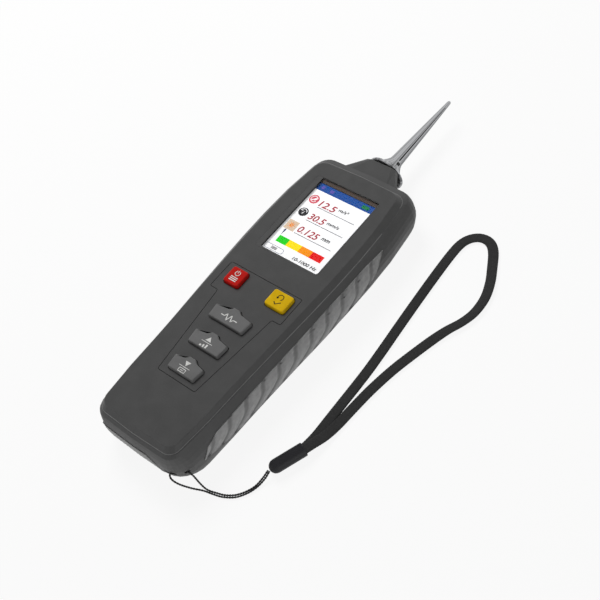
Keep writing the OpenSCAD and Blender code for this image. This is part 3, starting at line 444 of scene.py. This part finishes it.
# pad-printed symbols, each drawn round the middle of its key
keyTop = 30.04
keys = dict(
    power=dict(at=(-14.2, 4.8), ink="white",
               symbol=band(0, 1.7, 1.4, 0.4, 120, 420) + [rect(-0.2, 0.2, 1.8, 3.6)]
               + [rect(-2.3, 2.3, -1.2 - i, -0.65 - i) for i in range(3)]),
    enter=dict(at=(14.6, 4.8), ink="black",
               symbol=band(0, 1.5, 1.55, 0.42, -60, 215)
               + [[(-2.35, 1.2), (-0.65, 1.2), (-1.5, 0.1)],
                  [(-1.9, -2.0), (-1.5, -1.6), (-0.4, -2.6), (-0.4, -3.2)],
                  [(-0.4, -2.6), (1.9, -0.7), (2.2, -1.1), (-0.4, -3.2)]]),
    measure=dict(at=(0, -16.4), ink="white",
                 symbol=polyline([(-5.2, 0), (-3.0, 0), (-2.1, 1.8), (-0.7, -1.9), (0.7, 2.0),
                                  (1.9, -1.5), (2.8, 0), (5.2, 0)], 0.54)),
    up=dict(at=(0, -33), ink="white",
            symbol=[[(-1.7, 0.9), (1.7, 0.9), (0, 3.5)], rect(-3.4, 3.4, -0.1, 0.2)]
            + [rect(x, x + 1, -3, -3 + tall)
               for x, tall in ((-2.6, 1.0), (-0.9, 1.6), (0.8, 2.2))]),
    down=dict(at=(0, -49.3), ink="white",
              symbol=[[(-1.7, 3.3), (0, 0.7), (1.7, 3.3)], rect(-3.4, 3.4, -0.1, 0.2)]
              + frameLine(-2.2, 2.2, -3.1, -0.8, 0.5, 0.36) + [rect(-1.1, 1.1, -2.1, -1.8)]))


def makeKeySymbols():
    # tampon-printed ink: a thin dull film, slightly uneven
    ink = dict(white=finish("white pad print", "#f0f0ee", "#dcdcd8", 0.5, size=1, specular=0.2),
               black=finish("black pad print", "#2c2810", "#3c3614", 0.5, size=1, specular=0.2))
    for name, key in keys.items():
        flat(name + "Symbol", moved(key["symbol"], *key["at"]), keyTop, ink[key["ink"]],
             name + "_button")


# soft grips: the solid's own shape, cut fine, with the moulded waves pressed into its outside;
# along and swing are in waves to a millimetre, and cuts are an axis and the space between cuts
sideWaves = dict(cuts=((1, 0.62), (2, 0.62)), along=(0, 1 / 11.6, -0.085), swing=(0, 0, 0.062),
                 bend=0.9, ripple=0.6, depth=0.75)
grips = dict(right_grip=dict(out=(1, 0, 0), **sideWaves),
             left_grip=dict(out=(-1, 0, 0), **sideWaves),
             foot_grip=dict(out=(0, -1, 0), cuts=((0, 0.3), (2, 1.2)), along=(1 / 2.4, 0, 0.12),
                            swing=(0, 0, 0.05), bend=0.4, ripple=0.2, depth=0.5))
# the last three are painted shade in the wave troughs: where it starts, where it is full, and its
# grey
relief = dict(second=2.0, secondLag=0.9, reach=1.35, facing=0.55, cutLimit=0.0005, sharp=40,
              troughShadeFrom=-0.55, troughShadeTo=-1.0, troughShade="#707070")


def reliefTree():
    tree, sockets, given = startTree(
        "moulded waves",
        [("Grip", "Geometry"), ("Waves Along", "Vector"), ("Waves Swing", "Vector"),
         ("Bend", "Float"), ("Ripple", "Float"), ("Depth", "Float"), ("Finish", "Material")],
        "Grip")
    place = addNode(tree, "GeometryNodeInputPosition")
    normal = addNode(tree, "GeometryNodeInputNormal")
    outside = addNode(tree, "GeometryNodeInputNamedAttribute", data_type="FLOAT", in0="outside")
    along, swing = [
        addNode(tree, "ShaderNodeVectorMath",
                [(0, place.outputs[0]), (1, given.outputs[name])], operation="DOT_PRODUCT")
        for name in ("Waves Along", "Waves Swing")]
    swung = addNode(tree, "ShaderNodeMath", [(0, swing.outputs["Value"])], operation="SINE")
    phase = addNode(tree, "ShaderNodeMath", [(0, swung.outputs[0]), (1, given.outputs["Bend"]),
                                             (2, along.outputs["Value"])], operation="MULTIPLY_ADD")
    wave = addNode(tree, "ShaderNodeMath", [(0, phase.outputs[0])], operation="SINE")
    double = addNode(tree, "ShaderNodeMath", [(0, phase.outputs[0])], operation="MULTIPLY_ADD",
                     in1=relief["second"], in2=relief["secondLag"])
    second = addNode(tree, "ShaderNodeMath", [(0, double.outputs[0])], operation="SINE")
    both = addNode(tree, "ShaderNodeMath", [(0, second.outputs[0]), (1, given.outputs["Ripple"]),
                                            (2, wave.outputs[0])], operation="MULTIPLY_ADD")
    share = addNode(tree, "ShaderNodeMapRange", [(0, both.outputs[0])],
                    in1=-relief["reach"], in2=relief["reach"], in3=-1.0, in4=0.0)
    deep = addNode(tree, "ShaderNodeMath", [(0, share.outputs[0]), (1, given.outputs["Depth"])],
                   operation="MULTIPLY")
    kept = addNode(tree, "ShaderNodeMath", [(0, deep.outputs[0]), (1, outside.outputs[0])],
                   operation="MULTIPLY")
    push = addNode(tree, "ShaderNodeVectorMath", [(0, normal.outputs[0]),
                                                  ("Scale", kept.outputs[0])], operation="SCALE")
    move = addNode(tree, "GeometryNodeSetPosition", [("Geometry", given.outputs["Grip"]),
                                                     ("Offset", push.outputs[0])])
    crease = addNode(tree, "GeometryNodeStoreNamedAttribute",
                     [("Geometry", move.outputs[0]), ("Value", share.outputs[0])],
                     data_type="FLOAT", domain="POINT")
    crease.inputs["Name"].default_value = "crease"
    endTree(tree, given, crease.outputs[0])
    return tree, sockets


def gripMaterial():
    # an elastomer skin moulded on the shell: satin, with painted shade darkening its wave troughs
    mat = finish("soft elastomer, light grey", "#989898", "#8c8c8c", 0.62, size=2.5,
                 grain=(0.7, 0.03), specular=0.3)
    tree = mat.node_tree
    colour = tree.nodes["Principled BSDF"].inputs["Base Color"]
    plain = colour.links[0].from_socket
    deep = addNode(tree, "ShaderNodeAttribute", attribute_name="crease")
    # painted shade: the colour darkens towards the bottoms of the waves
    troughShade = addNode(tree, "ShaderNodeMapRange", [(0, deep.outputs["Fac"])],
                   in1=relief["troughShadeFrom"], in2=relief["troughShadeTo"])
    shaded = addNode(tree, "ShaderNodeMix", [(0, troughShade.outputs[0]), (6, plain)],
                     data_type="RGBA", in7=linear(relief["troughShade"]))
    tree.links.new(shaded.outputs[2], colour)
    return mat


def cutFine(work, cuts):
    for axis, step in cuts:
        places = [v.co[axis] for v in work.verts]
        low, high = min(places), max(places)
        count = int((high - low) / (step * mm))
        direction = Vector([float(k == axis) for k in range(3)])
        for i in range(1, count):
            everything = work.verts[:] + work.edges[:] + work.faces[:]
            bmesh.ops.bisect_plane(work, geom=everything, dist=relief["cutLimit"] * mm,
                                   plane_co=direction * (low + (high - low) * i / count),
                                   plane_no=direction)


def makeGrips(nodes):
    mat = gripMaterial()
    tree, sockets = reliefTree()
    turns = 2 * math.pi / mm
    for name, grip in grips.items():
        work = weldedCopy(nodes[name])
        cutFine(work, grip["cuts"])
        work.normal_update()
        out = Vector(grip["out"])
        outside = [float(all(f.normal.dot(out) > relief["facing"] for f in v.link_faces))
                   for v in work.verts]
        mesh = bpy.data.meshes.new(name + "_waves")
        work.to_mesh(mesh)
        work.free()
        mesh.attributes.new("outside", "FLOAT", "POINT").data.foreach_set("value", outside)
        mesh.materials.append(mat)
        baked = bakeTree(name + "_waves", mesh, tree, sockets, {
            "Waves Along": [c * turns for c in grip["along"]],
            "Waves Swing": [c * turns for c in grip["swing"]],
            "Bend": grip["bend"], "Ripple": grip["ripple"], "Depth": grip["depth"] * mm,
            "Finish": mat})
        baked.set_sharp_from_angle(angle=math.radians(relief["sharp"]))
        piece = linkObject(name + "_waves", baked)
        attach(piece, "casing")
        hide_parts(name)
        print(name, "waves:", len(baked.polygons), "faces")


# the casing's step edge: a fine rounded bead, coloured paler as a painted highlight, that runs
# round the step of the face, through the solid's corners at stepZ beyond the face's own cut-outs,
# in their order round the middle
edge = dict(stepZ=25, near=0.02, beyondX=24, beyondHead=84, beyondFoot=-80, middleY=3, widen=2,
            radius=0.4, sunk=0.2, sides=10)


def edgeTree():
    tree, sockets, given = startTree(
        "edge bead",
        [("Outline", "Geometry"), ("Radius", "Float"), ("Sides", "Int"), ("Finish", "Material")],
        "Bead")
    path = addNode(tree, "GeometryNodeMeshToCurve", [("Mesh", given.outputs["Outline"])])
    ring = addNode(tree, "GeometryNodeCurvePrimitiveCircle",
                   [("Resolution", given.outputs["Sides"]), ("Radius", given.outputs["Radius"])])
    tube = addNode(tree, "GeometryNodeCurveToMesh", [("Curve", path.outputs[0]),
                                                     ("Profile Curve", ring.outputs[0])])
    endTree(tree, given, tube.outputs[0])
    return tree, sockets


def makeEdge(nodes):
    # a rounded bead, shinier than the grain beside it and coloured paler as a painted highlight
    mat = finish("rubbed ABS edge", "#666666", "#787878", 0.38, size=4, specular=0.4)
    points = {(round(v.co.x / mm, 2), round(v.co.y / mm, 2))
              for v in nodes["front_shell"].data.vertices
              if abs(v.co.z / mm - edge["stepZ"]) < edge["near"]}
    ring = [(x, y) for x, y in points
            if abs(x) > edge["beyondX"] or y > edge["beyondHead"] or y < edge["beyondFoot"]]
    middle, sunk = edge["middleY"], edge["sunk"]
    ring.sort(key=lambda p: math.atan2(p[1] - middle, p[0] * edge["widen"]))
    inset = [(x - math.copysign(sunk, x), y - math.copysign(sunk, y - middle)) for x, y in ring]
    count = len(inset)
    mesh = bpy.data.meshes.new("stepEdge")
    mesh.from_pydata([(x * mm, y * mm, (edge["stepZ"] - sunk) * mm) for x, y in inset],
                     [(i, (i + 1) % count) for i in range(count)], [])
    tree, sockets = edgeTree()
    baked = bakeTree("stepEdge", mesh, tree, sockets, {
        "Radius": edge["radius"] * mm, "Sides": edge["sides"], "Finish": mat})
    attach(linkObject("stepEdge", baked), "casing")
    print("step edge:", count, "points,", len(baked.polygons), "faces")


# the rear shell's own mesh, with the two inner corners of the battery bay drawn in under its skin
trim = dict(reach=0.12, corners={(25.2, -86.9, 2.2): (23.2, -85.1, 2.3),
                                 (25.2, -86.9, 3.8): (23.7, -85.8, 3.8)})


def makeRearShell(nodes, casing):
    work = weldedCopy(nodes["rear_shell"])
    for v in work.verts:
        for place, target in trim["corners"].items():
            away = Vector((abs(v.co.x) / mm, v.co.y / mm, v.co.z / mm)) - Vector(place)
            if away.length < trim["reach"]:
                v.co = Vector((math.copysign(target[0], v.co.x), target[1], target[2])) * mm
    mesh = bpy.data.meshes.new("rearShellTrimmed")
    work.to_mesh(mesh)
    work.free()
    mesh.materials.clear()
    mesh.materials.append(casing)
    for face in mesh.polygons:
        face.material_index = 0
    piece = linkObject("rearShellTrimmed", mesh)
    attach(piece, "casing")
    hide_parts("rear_shell")


# the probe: a fluted trumpet foot drawn out into a long spike, turned from one steel bar;
# profile is the place along the axis and the radius there, and its first rows are the stud
probe = dict(axisZ=12.4, around=168, ringStep=0.8, studEnd=107.4, smoothFrom=107.5, sharp=35,
             flutes=30, fluteDepth=0.055, fluteStart=108.7, fluteRise=1.2, fluteFall=114,
             fluteEnd=121, groove=40, grooveWidth=9, grooveDepth=0.22, grooveY=(114.5, 166),
             grooveFade=(4, 14), lineHalf=8, lineInset=3,
             # painted reflection: bright and dull bands round the steel; the last one is painted
             # shade below
             sheenLevel=0.45, sheenAndShadeBands=((7, 1, 0.22), (19, 0.4, 0.2), (31, 2, 0.16),
                                        (1, -0.2, -0.25)),
             profile=((99.4, 0), (99.4, 2.45), (107.4, 2.45), (107.4, 10.3), (107.9, 10.95),
                      (108.5, 10.95), (108.75, 10.6), (109, 10.0), (109.4, 9.3), (110, 8.5),
                      (110.8, 7.7), (111.7, 6.9), (112.7, 6.15), (113.7, 5.45), (114.8, 4.8),
                      (115.9, 4.25), (116.8, 3.88), (117.6, 3.65), (120, 3.5), (126, 3.2),
                      (134, 2.8), (142, 2.4), (150, 2.0), (158, 1.58), (164, 1.26), (167.6, 1.06),
                      (168.3, 0.95), (168.75, 0.68), (169.02, 0.34), (169.1, 0)))
# the drilled hole's painted shade, a dark lining; rings are the distance from the axis and the
# radius
hole = dict(y=115.5, angle=33, sides=24, slope=0.62, slopeFrom=4,
            rings=((3.2, 0.95), (4.72, 0.95), (4.72, 0.779), (4.5, 0.741), (4.5, 0.01)))


def probeRadius(y, r, angle):
    # the flutes fade in behind the rim and out along the neck; the groove fades at both its ends
    fluted = min(1, max(0, (probe["fluteEnd"] - y) / (probe["fluteEnd"] - probe["fluteFall"])))
    fluted *= min(1, max(0, (y - probe["fluteStart"]) / probe["fluteRise"]))
    flute = probe["fluteDepth"] * fluted * (0.5 - 0.5 * math.cos(math.radians(
        angle * probe["flutes"])))
    (y0, y1), (near, far) = probe["grooveY"], probe["grooveFade"]
    cut = max(0, min(1, (y - y0) / near, (y1 - y) / far)) * min(1, r / 2)
    away = (angle - probe["groove"] + 180) % 360 - 180
    groove = probe["grooveDepth"] * math.exp(-(away / probe["grooveWidth"]) ** 4)
    return r * (1 - flute) - cut * groove


def probeShape():
    rows = []
    for (ya, ra), (yb, rb) in zip(probe["profile"], probe["profile"][1:]):
        length = math.hypot(yb - ya, rb - ra)
        steps = max(1, int(length / probe["ringStep"])) if ya >= probe["studEnd"] else 1
        rows += [(ya + (yb - ya) * i / steps, ra + (rb - ra) * i / steps) for i in range(steps)]
    count, rings = probe["around"], len(rows) - 1
    verts, faces = [(0, rows[0][0], probe["axisZ"])], []
    for y, r in rows[1:]:
        for k in range(count):
            angle = 360 * k / count
            size, turn = probeRadius(y, r, angle), math.radians(angle)
            verts.append((size * math.cos(turn), y, probe["axisZ"] + size * math.sin(turn)))
    verts.append((0, probe["profile"][-1][0], probe["axisZ"]))
    for k in range(count):
        j = (k + 1) % count
        faces.append((0, 1 + k, 1 + j))
        faces.append((len(verts) - 1, 1 + (rings - 1) * count + j, 1 + (rings - 1) * count + k))
        for i in range(rings - 1):
            a, b = 1 + i * count, 1 + (i + 1) * count
            faces.append((a + k, b + k, b + j, a + j))
    return verts, faces


def makeProbe():
    # stainless steel drawn along the spike: grey, with painted reflection in bright and dull
    # bands down its length, and painted shade on its lower side
    steel = finish("drawn stainless steel", "#b6b7b9", "#48494b", 0.3, size=1.5,
                   stretch=(1, 0.1, 1), metallic=1)
    tree = steel.node_tree
    # painted reflection and painted shade: the bands set further on give the steel its colour
    lines = addNode(tree, "ShaderNodeAttribute", attribute_name="sheenAndShade")
    colours = tree.nodes["Principled BSDF"].inputs["Base Color"].links[0].from_node
    tree.links.new(lines.outputs["Fac"], colours.inputs[0])
    # painted shade: the bottom of a scribed line or a drilled hole, nearly black, with no shine
    dark = finish("scribed line and drilled hole, in shadow", "#1a1a1a", "#2c2c2c", 0.7, size=1)
    piece = meshObject("probeFluted", *probeShape(), [steel, dark], body="probe_body")
    turns = [math.atan2(v.co.z - probe["axisZ"] * mm, v.co.x) for v in piece.data.vertices]
    # painted reflection in bright and dull bands, and painted shade on the lower side
    sheenAndShadeBands = [probe["sheenLevel"] + sum(size * math.sin(count * a + shift)
                                          for count, shift, size in probe["sheenAndShadeBands"])
               for a in turns]
    piece.data.attributes.new("sheenAndShade", "FLOAT", "POINT").data.foreach_set("value", sheenAndShadeBands)
    y0, y1 = probe["grooveY"]
    inset = probe["lineInset"]
    for face in piece.data.polygons:
        face.use_smooth = face.center.y > probe["smoothFrom"] * mm
        away = math.degrees(math.atan2(face.center.z - probe["axisZ"] * mm, face.center.x))
        inLine = y0 + inset < face.center.y / mm < y1 - inset
        # painted shade: the groove's bottom takes the nearly black finish
        face.material_index = int(inLine and abs(away - probe["groove"]) < probe["lineHalf"])
    piece.data.set_sharp_from_angle(angle=math.radians(probe["sharp"]))
    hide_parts("probe")
    makeHole(dark)


def makeHole(mat):
    turn, n = math.radians(hole["angle"]), hole["sides"]
    out = Vector((math.cos(turn), 0, math.sin(turn)))
    axis, across = Vector((0, 1, 0)), Vector((-math.sin(turn), 0, math.cos(turn)))
    centre = Vector((0, hole["y"], probe["axisZ"]))
    lining = []
    for depth, size in hole["rings"]:
        tilt = hole["slope"] if depth > hole["slopeFrom"] else 0  # follows the flare's slope
        for k in range(n):
            a = 2 * math.pi * k / n
            lining.append(tuple(centre + out * (depth - tilt * size * math.cos(a))
                                + axis * size * math.cos(a) + across * size * math.sin(a)))
    sides = [(i * n + (k + 1) % n, (i + 1) * n + (k + 1) % n, (i + 1) * n + k, i * n + k)
             for i in range(len(hole["rings"]) - 1) for k in range(n)]
    meshObject("probeHole", lining, sides + [tuple(range(n))], mat, body="probe_body")


# the window: clear over the picture, printed in the casing's own grey round it
window = dict(clear=((-17.1, 19.95), (27.35, 79.5)), shine=0.015, shineRough=0.12)


def windowMaterial():
    # polycarbonate with a hard coat: a faint even shine over the picture, none of its own colour
    mat = finish("hard-coated polycarbonate window", "#494949", "#515151", 0.4, size=9,
                 grain=(0.9, 0.02), specular=0.25)
    tree = mat.node_tree
    shader = tree.nodes["Principled BSDF"]
    coords = addNode(tree, "ShaderNodeTexCoord")
    split = addNode(tree, "ShaderNodeSeparateXYZ", [(0, coords.outputs["Object"])])
    inside = []
    for axis, (low, high) in zip("XY", window["clear"]):
        away = addNode(tree, "ShaderNodeMath", [(0, split.outputs[axis])], operation="SUBTRACT",
                       in1=(low + high) / 2 * mm)
        size = addNode(tree, "ShaderNodeMath", [(0, away.outputs[0])], operation="ABSOLUTE")
        inside.append(addNode(tree, "ShaderNodeMath", [(0, size.outputs[0])],
                              operation="LESS_THAN", in1=(high - low) / 2 * mm))
    both = addNode(tree, "ShaderNodeMath", [(0, inside[0].outputs[0]), (1, inside[1].outputs[0])],
                   operation="MULTIPLY")
    clear = addNode(tree, "ShaderNodeBsdfTransparent")
    gloss = addNode(tree, "ShaderNodeBsdfGlossy")
    gloss.inputs["Roughness"].default_value = window["shineRough"]
    pane = addNode(tree, "ShaderNodeMixShader", [(1, clear.outputs[0]), (2, gloss.outputs[0])],
                   in0=window["shine"])
    final = addNode(tree, "ShaderNodeMixShader", [(0, both.outputs[0]), (1, shader.outputs[0]),
                                                  (2, pane.outputs[0])])
    tree.links.new(final.outputs[0], tree.nodes["Material Output"].inputs["Surface"])
    return mat


def paintNodes(nodes):
    # spark-eroded ABS: dull dark grey, its fine grain drawn coarse enough to show
    casing = finish("spark-eroded ABS, dark grey", "#4a4a4a", "#525252", 0.52, size=9,
                    grain=(0.9, 0.035), specular=0.22)
    plan = [
        (casing, ["front_shell", "rear_shell", "battery_cover", "keypad_plate"]),
        (windowMaterial(), ["display_lens"]),
        # turned and plated small parts: bright, with fine dull turning marks
        (finish("turned stainless steel", "#b9bbbd", "#96989a", 0.26, size=1.4, metallic=1),
         ["quartz_crystal", "battery_contacts", "sensor_case", "sensor_cap", "sensor_bolt",
          "case_screws", "board_screws"]),
        # glass-filled nylon, black: satin, slightly cloudy
        (finish("black moulded nylon", "#1a1a1c", "#232326", 0.5, size=3, grain=(0.8, 0.02),
                specular=0.2), ["key_switches", "board_chips", "buzzer", "lanyard_bead"]),
        # unfilled nylon: milky, a little yellow where it is thick
        (finish("natural nylon", "#e6e6e0", "#d8d8d0", 0.5, size=5),
         ["display_carrier", "cable_socket"]),
        # moulded keys: the grey ones dull and fine-grained, the coloured ones cleaner, with a
        # soft shine on their edges
        (finish("moulded key, grey", "#6a6a6a", "#737373", 0.55, size=5, grain=(0.8, 0.03),
                specular=0.3), ["measure_key", "up_key", "down_key"]),
        (finish("moulded key, red", "#c41408", "#b50e08", 0.4, size=5, grain=(1.2, 0.02),
                specular=0.2), ["power_key"]),
        (finish("moulded key, yellow", "#eac00e", "#dcb008", 0.4, size=5, grain=(1.2, 0.02),
                specular=0.2), ["enter_key"]),
        # open-cell foam: black, pitted, without shine
        (finish("black foam", "#1e1e1e", "#2a2a2a", 0.9, size=0.8, grain=(0.8, 0.1)),
         ["display_gasket"]),
        # polished glass over a dark cell: smooth and nearly black
        (finish("display glass", "#0c0d10", "#14161b", 0.25, size=12), ["display_module"]),
        # amber film, glossy, its colour deeper where it bends
        (finish("polyimide film", "#c98a2b", "#b67a22", 0.4, size=4), ["display_ribbon"]),
        # pressed silicone: a soft grey without shine
        (finish("moulded silicone", "#8f9496", "#85898c", 0.7, size=6), ["keypad_mat"]),
        # green lacquer on glass cloth: smooth, slightly cloudy over the copper
        (finish("green solder mask on glass epoxy", "#1f6b3a", "#195a30", 0.35, size=5),
         ["main_board"]),
        # shrunk plastic sleeve: plain blue with an even shine
        (finish("plain cell sleeve", "#2f6f9f", "#2a6492", 0.35, size=14), ["battery_cells"]),
        # fired ceramic: pale, dull and finely speckled
        (finish("piezoelectric ceramic", "#cdbb8a", "#c2ae7c", 0.6, size=1), ["piezo_rings"]),
        # pressed and sintered metal: grey-brown and grainy
        (finish("sintered heavy alloy", "#6f6a62", "#5f5b54", 0.4, size=0.8, metallic=1),
         ["seismic_mass"]),
        # extruded soft PVC: dark red, half shiny
        (finish("PVC lead", "#7a1f1f", "#6c1a1a", 0.5, size=3), ["sensor_cable"])]
    for mat, names in plan:
        for name in names:
            for slot in nodes[name].material_slots:
                slot.material = mat
    makeRearShell(nodes, casing)


# plain soft studio: a large lamp upper left, weak ones low on the right and at the foot end
studio = dict(floorZ=-0.3, floorHalf=1500, world=0.1, seen=0.9, bounce=0.7, lamps=[
    dict(place=(-430, 300, 680), size=420, power=5.6, inGloss=False),
    dict(place=(700, -200, 50), size=300, power=1.5, inGloss=True),
    dict(place=(-80, -760, 40), size=300, power=1.6, inGloss=False)])


def shownWhite(tree):
    # 1 for the camera, for gloss and for glass, which see plain white; 0 for all other light
    seen = addNode(tree, "ShaderNodeLightPath")
    gloss = addNode(tree, "ShaderNodeMath", [(0, seen.outputs["Is Camera Ray"]),
                                             (1, seen.outputs["Is Glossy Ray"])], operation="ADD")
    return addNode(tree, "ShaderNodeMath", [(0, gloss.outputs[0]),
                                            (1, seen.outputs["Is Transmission Ray"])],
                   operation="ADD", use_clamp=True).outputs[0]


def makeWorld():
    world = bpy.data.worlds.new("studio")
    bpy.context.scene.world = world
    world.use_nodes = True
    tree = world.node_tree
    strength = addNode(tree, "ShaderNodeMapRange", [(0, shownWhite(tree))],
                       in3=studio["world"], in4=1.0)
    ground = tree.nodes["Background"]
    ground.inputs[0].default_value = (1, 1, 1, 1)
    tree.links.new(strength.outputs[0], ground.inputs[1])


def makeFloor():
    # painted board: matt white, with no pattern of its own
    mat = finish("matt white studio floor", "#f7f7f6", "#f3f3f2", 0.9, size=300)
    tree = mat.node_tree
    lit = addNode(tree, "ShaderNodeEmission")
    level = addNode(tree, "ShaderNodeMapRange", [(0, shownWhite(tree))],
                    in3=studio["bounce"], in4=studio["seen"])
    mix = addNode(tree, "ShaderNodeMixShader",
                  [(0, level.outputs[0]), (1, tree.nodes["Principled BSDF"].outputs[0]),
                   (2, lit.outputs[0])])
    side = addNode(tree, "ShaderNodeNewGeometry")
    through = addNode(tree, "ShaderNodeBsdfTransparent")
    oneWay = addNode(tree, "ShaderNodeMixShader",  # the underside can be looked at from below
                     [(0, side.outputs["Backfacing"]), (1, mix.outputs[0]),
                      (2, through.outputs[0])])
    tree.links.new(oneWay.outputs[0], tree.nodes["Material Output"].inputs["Surface"])
    half, z = studio["floorHalf"] * mm, studio["floorZ"] * mm
    mesh = bpy.data.meshes.new("floor")
    mesh.from_pydata([(x, y, z) for x, y in rect(-half, half, -half, half)], [], [(0, 1, 2, 3)])
    mesh.materials.append(mat)
    linkObject("floor", mesh)


def makeStudio():
    makeWorld()
    makeFloor()
    for i, spec in enumerate(studio["lamps"]):
        data = bpy.data.lights.new(f"lamp{i}", "AREA")
        data.size, data.energy = spec["size"] * mm, spec["power"]
        lamp = linkObject(f"lamp{i}", data)
        lamp.location = Vector(spec["place"]) * mm
        lamp.rotation_euler = (-lamp.location).to_track_quat("-Z", "Y").to_euler()
        lamp.visible_glossy = spec["inGloss"]  # two of them would glare in the window
    bpy.context.scene.view_settings.view_transform = "Standard"


def main():
    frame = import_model()
    makeCamera()
    # spun polyester thread: dull black, hairy, so it hardly shines
    makeString(finish("spun polyester thread", "#1c1c1c", "#2a2a2a", 0.8, size=0.6))
    # plain-woven polyester: a shade lighter than the thread, dull, with a fine grain
    makeStrap(finish("woven polyester", "#323232", "#3c3c3c", 0.85, size=1.2, grain=(0.8, 0.08),
                     specular=0.2))
    print("cords made")
    paintNodes(frame["nodes"])
    print("CAD pieces painted")
    makeGrips(frame["nodes"])
    makeEdge(frame["nodes"])
    makeProbe()
    print("grips and probe made")
    makePicture()
    print("picture made")
    makeKeySymbols()
    print("key symbols made")
    makeStudio()
    print("studio made")


main()
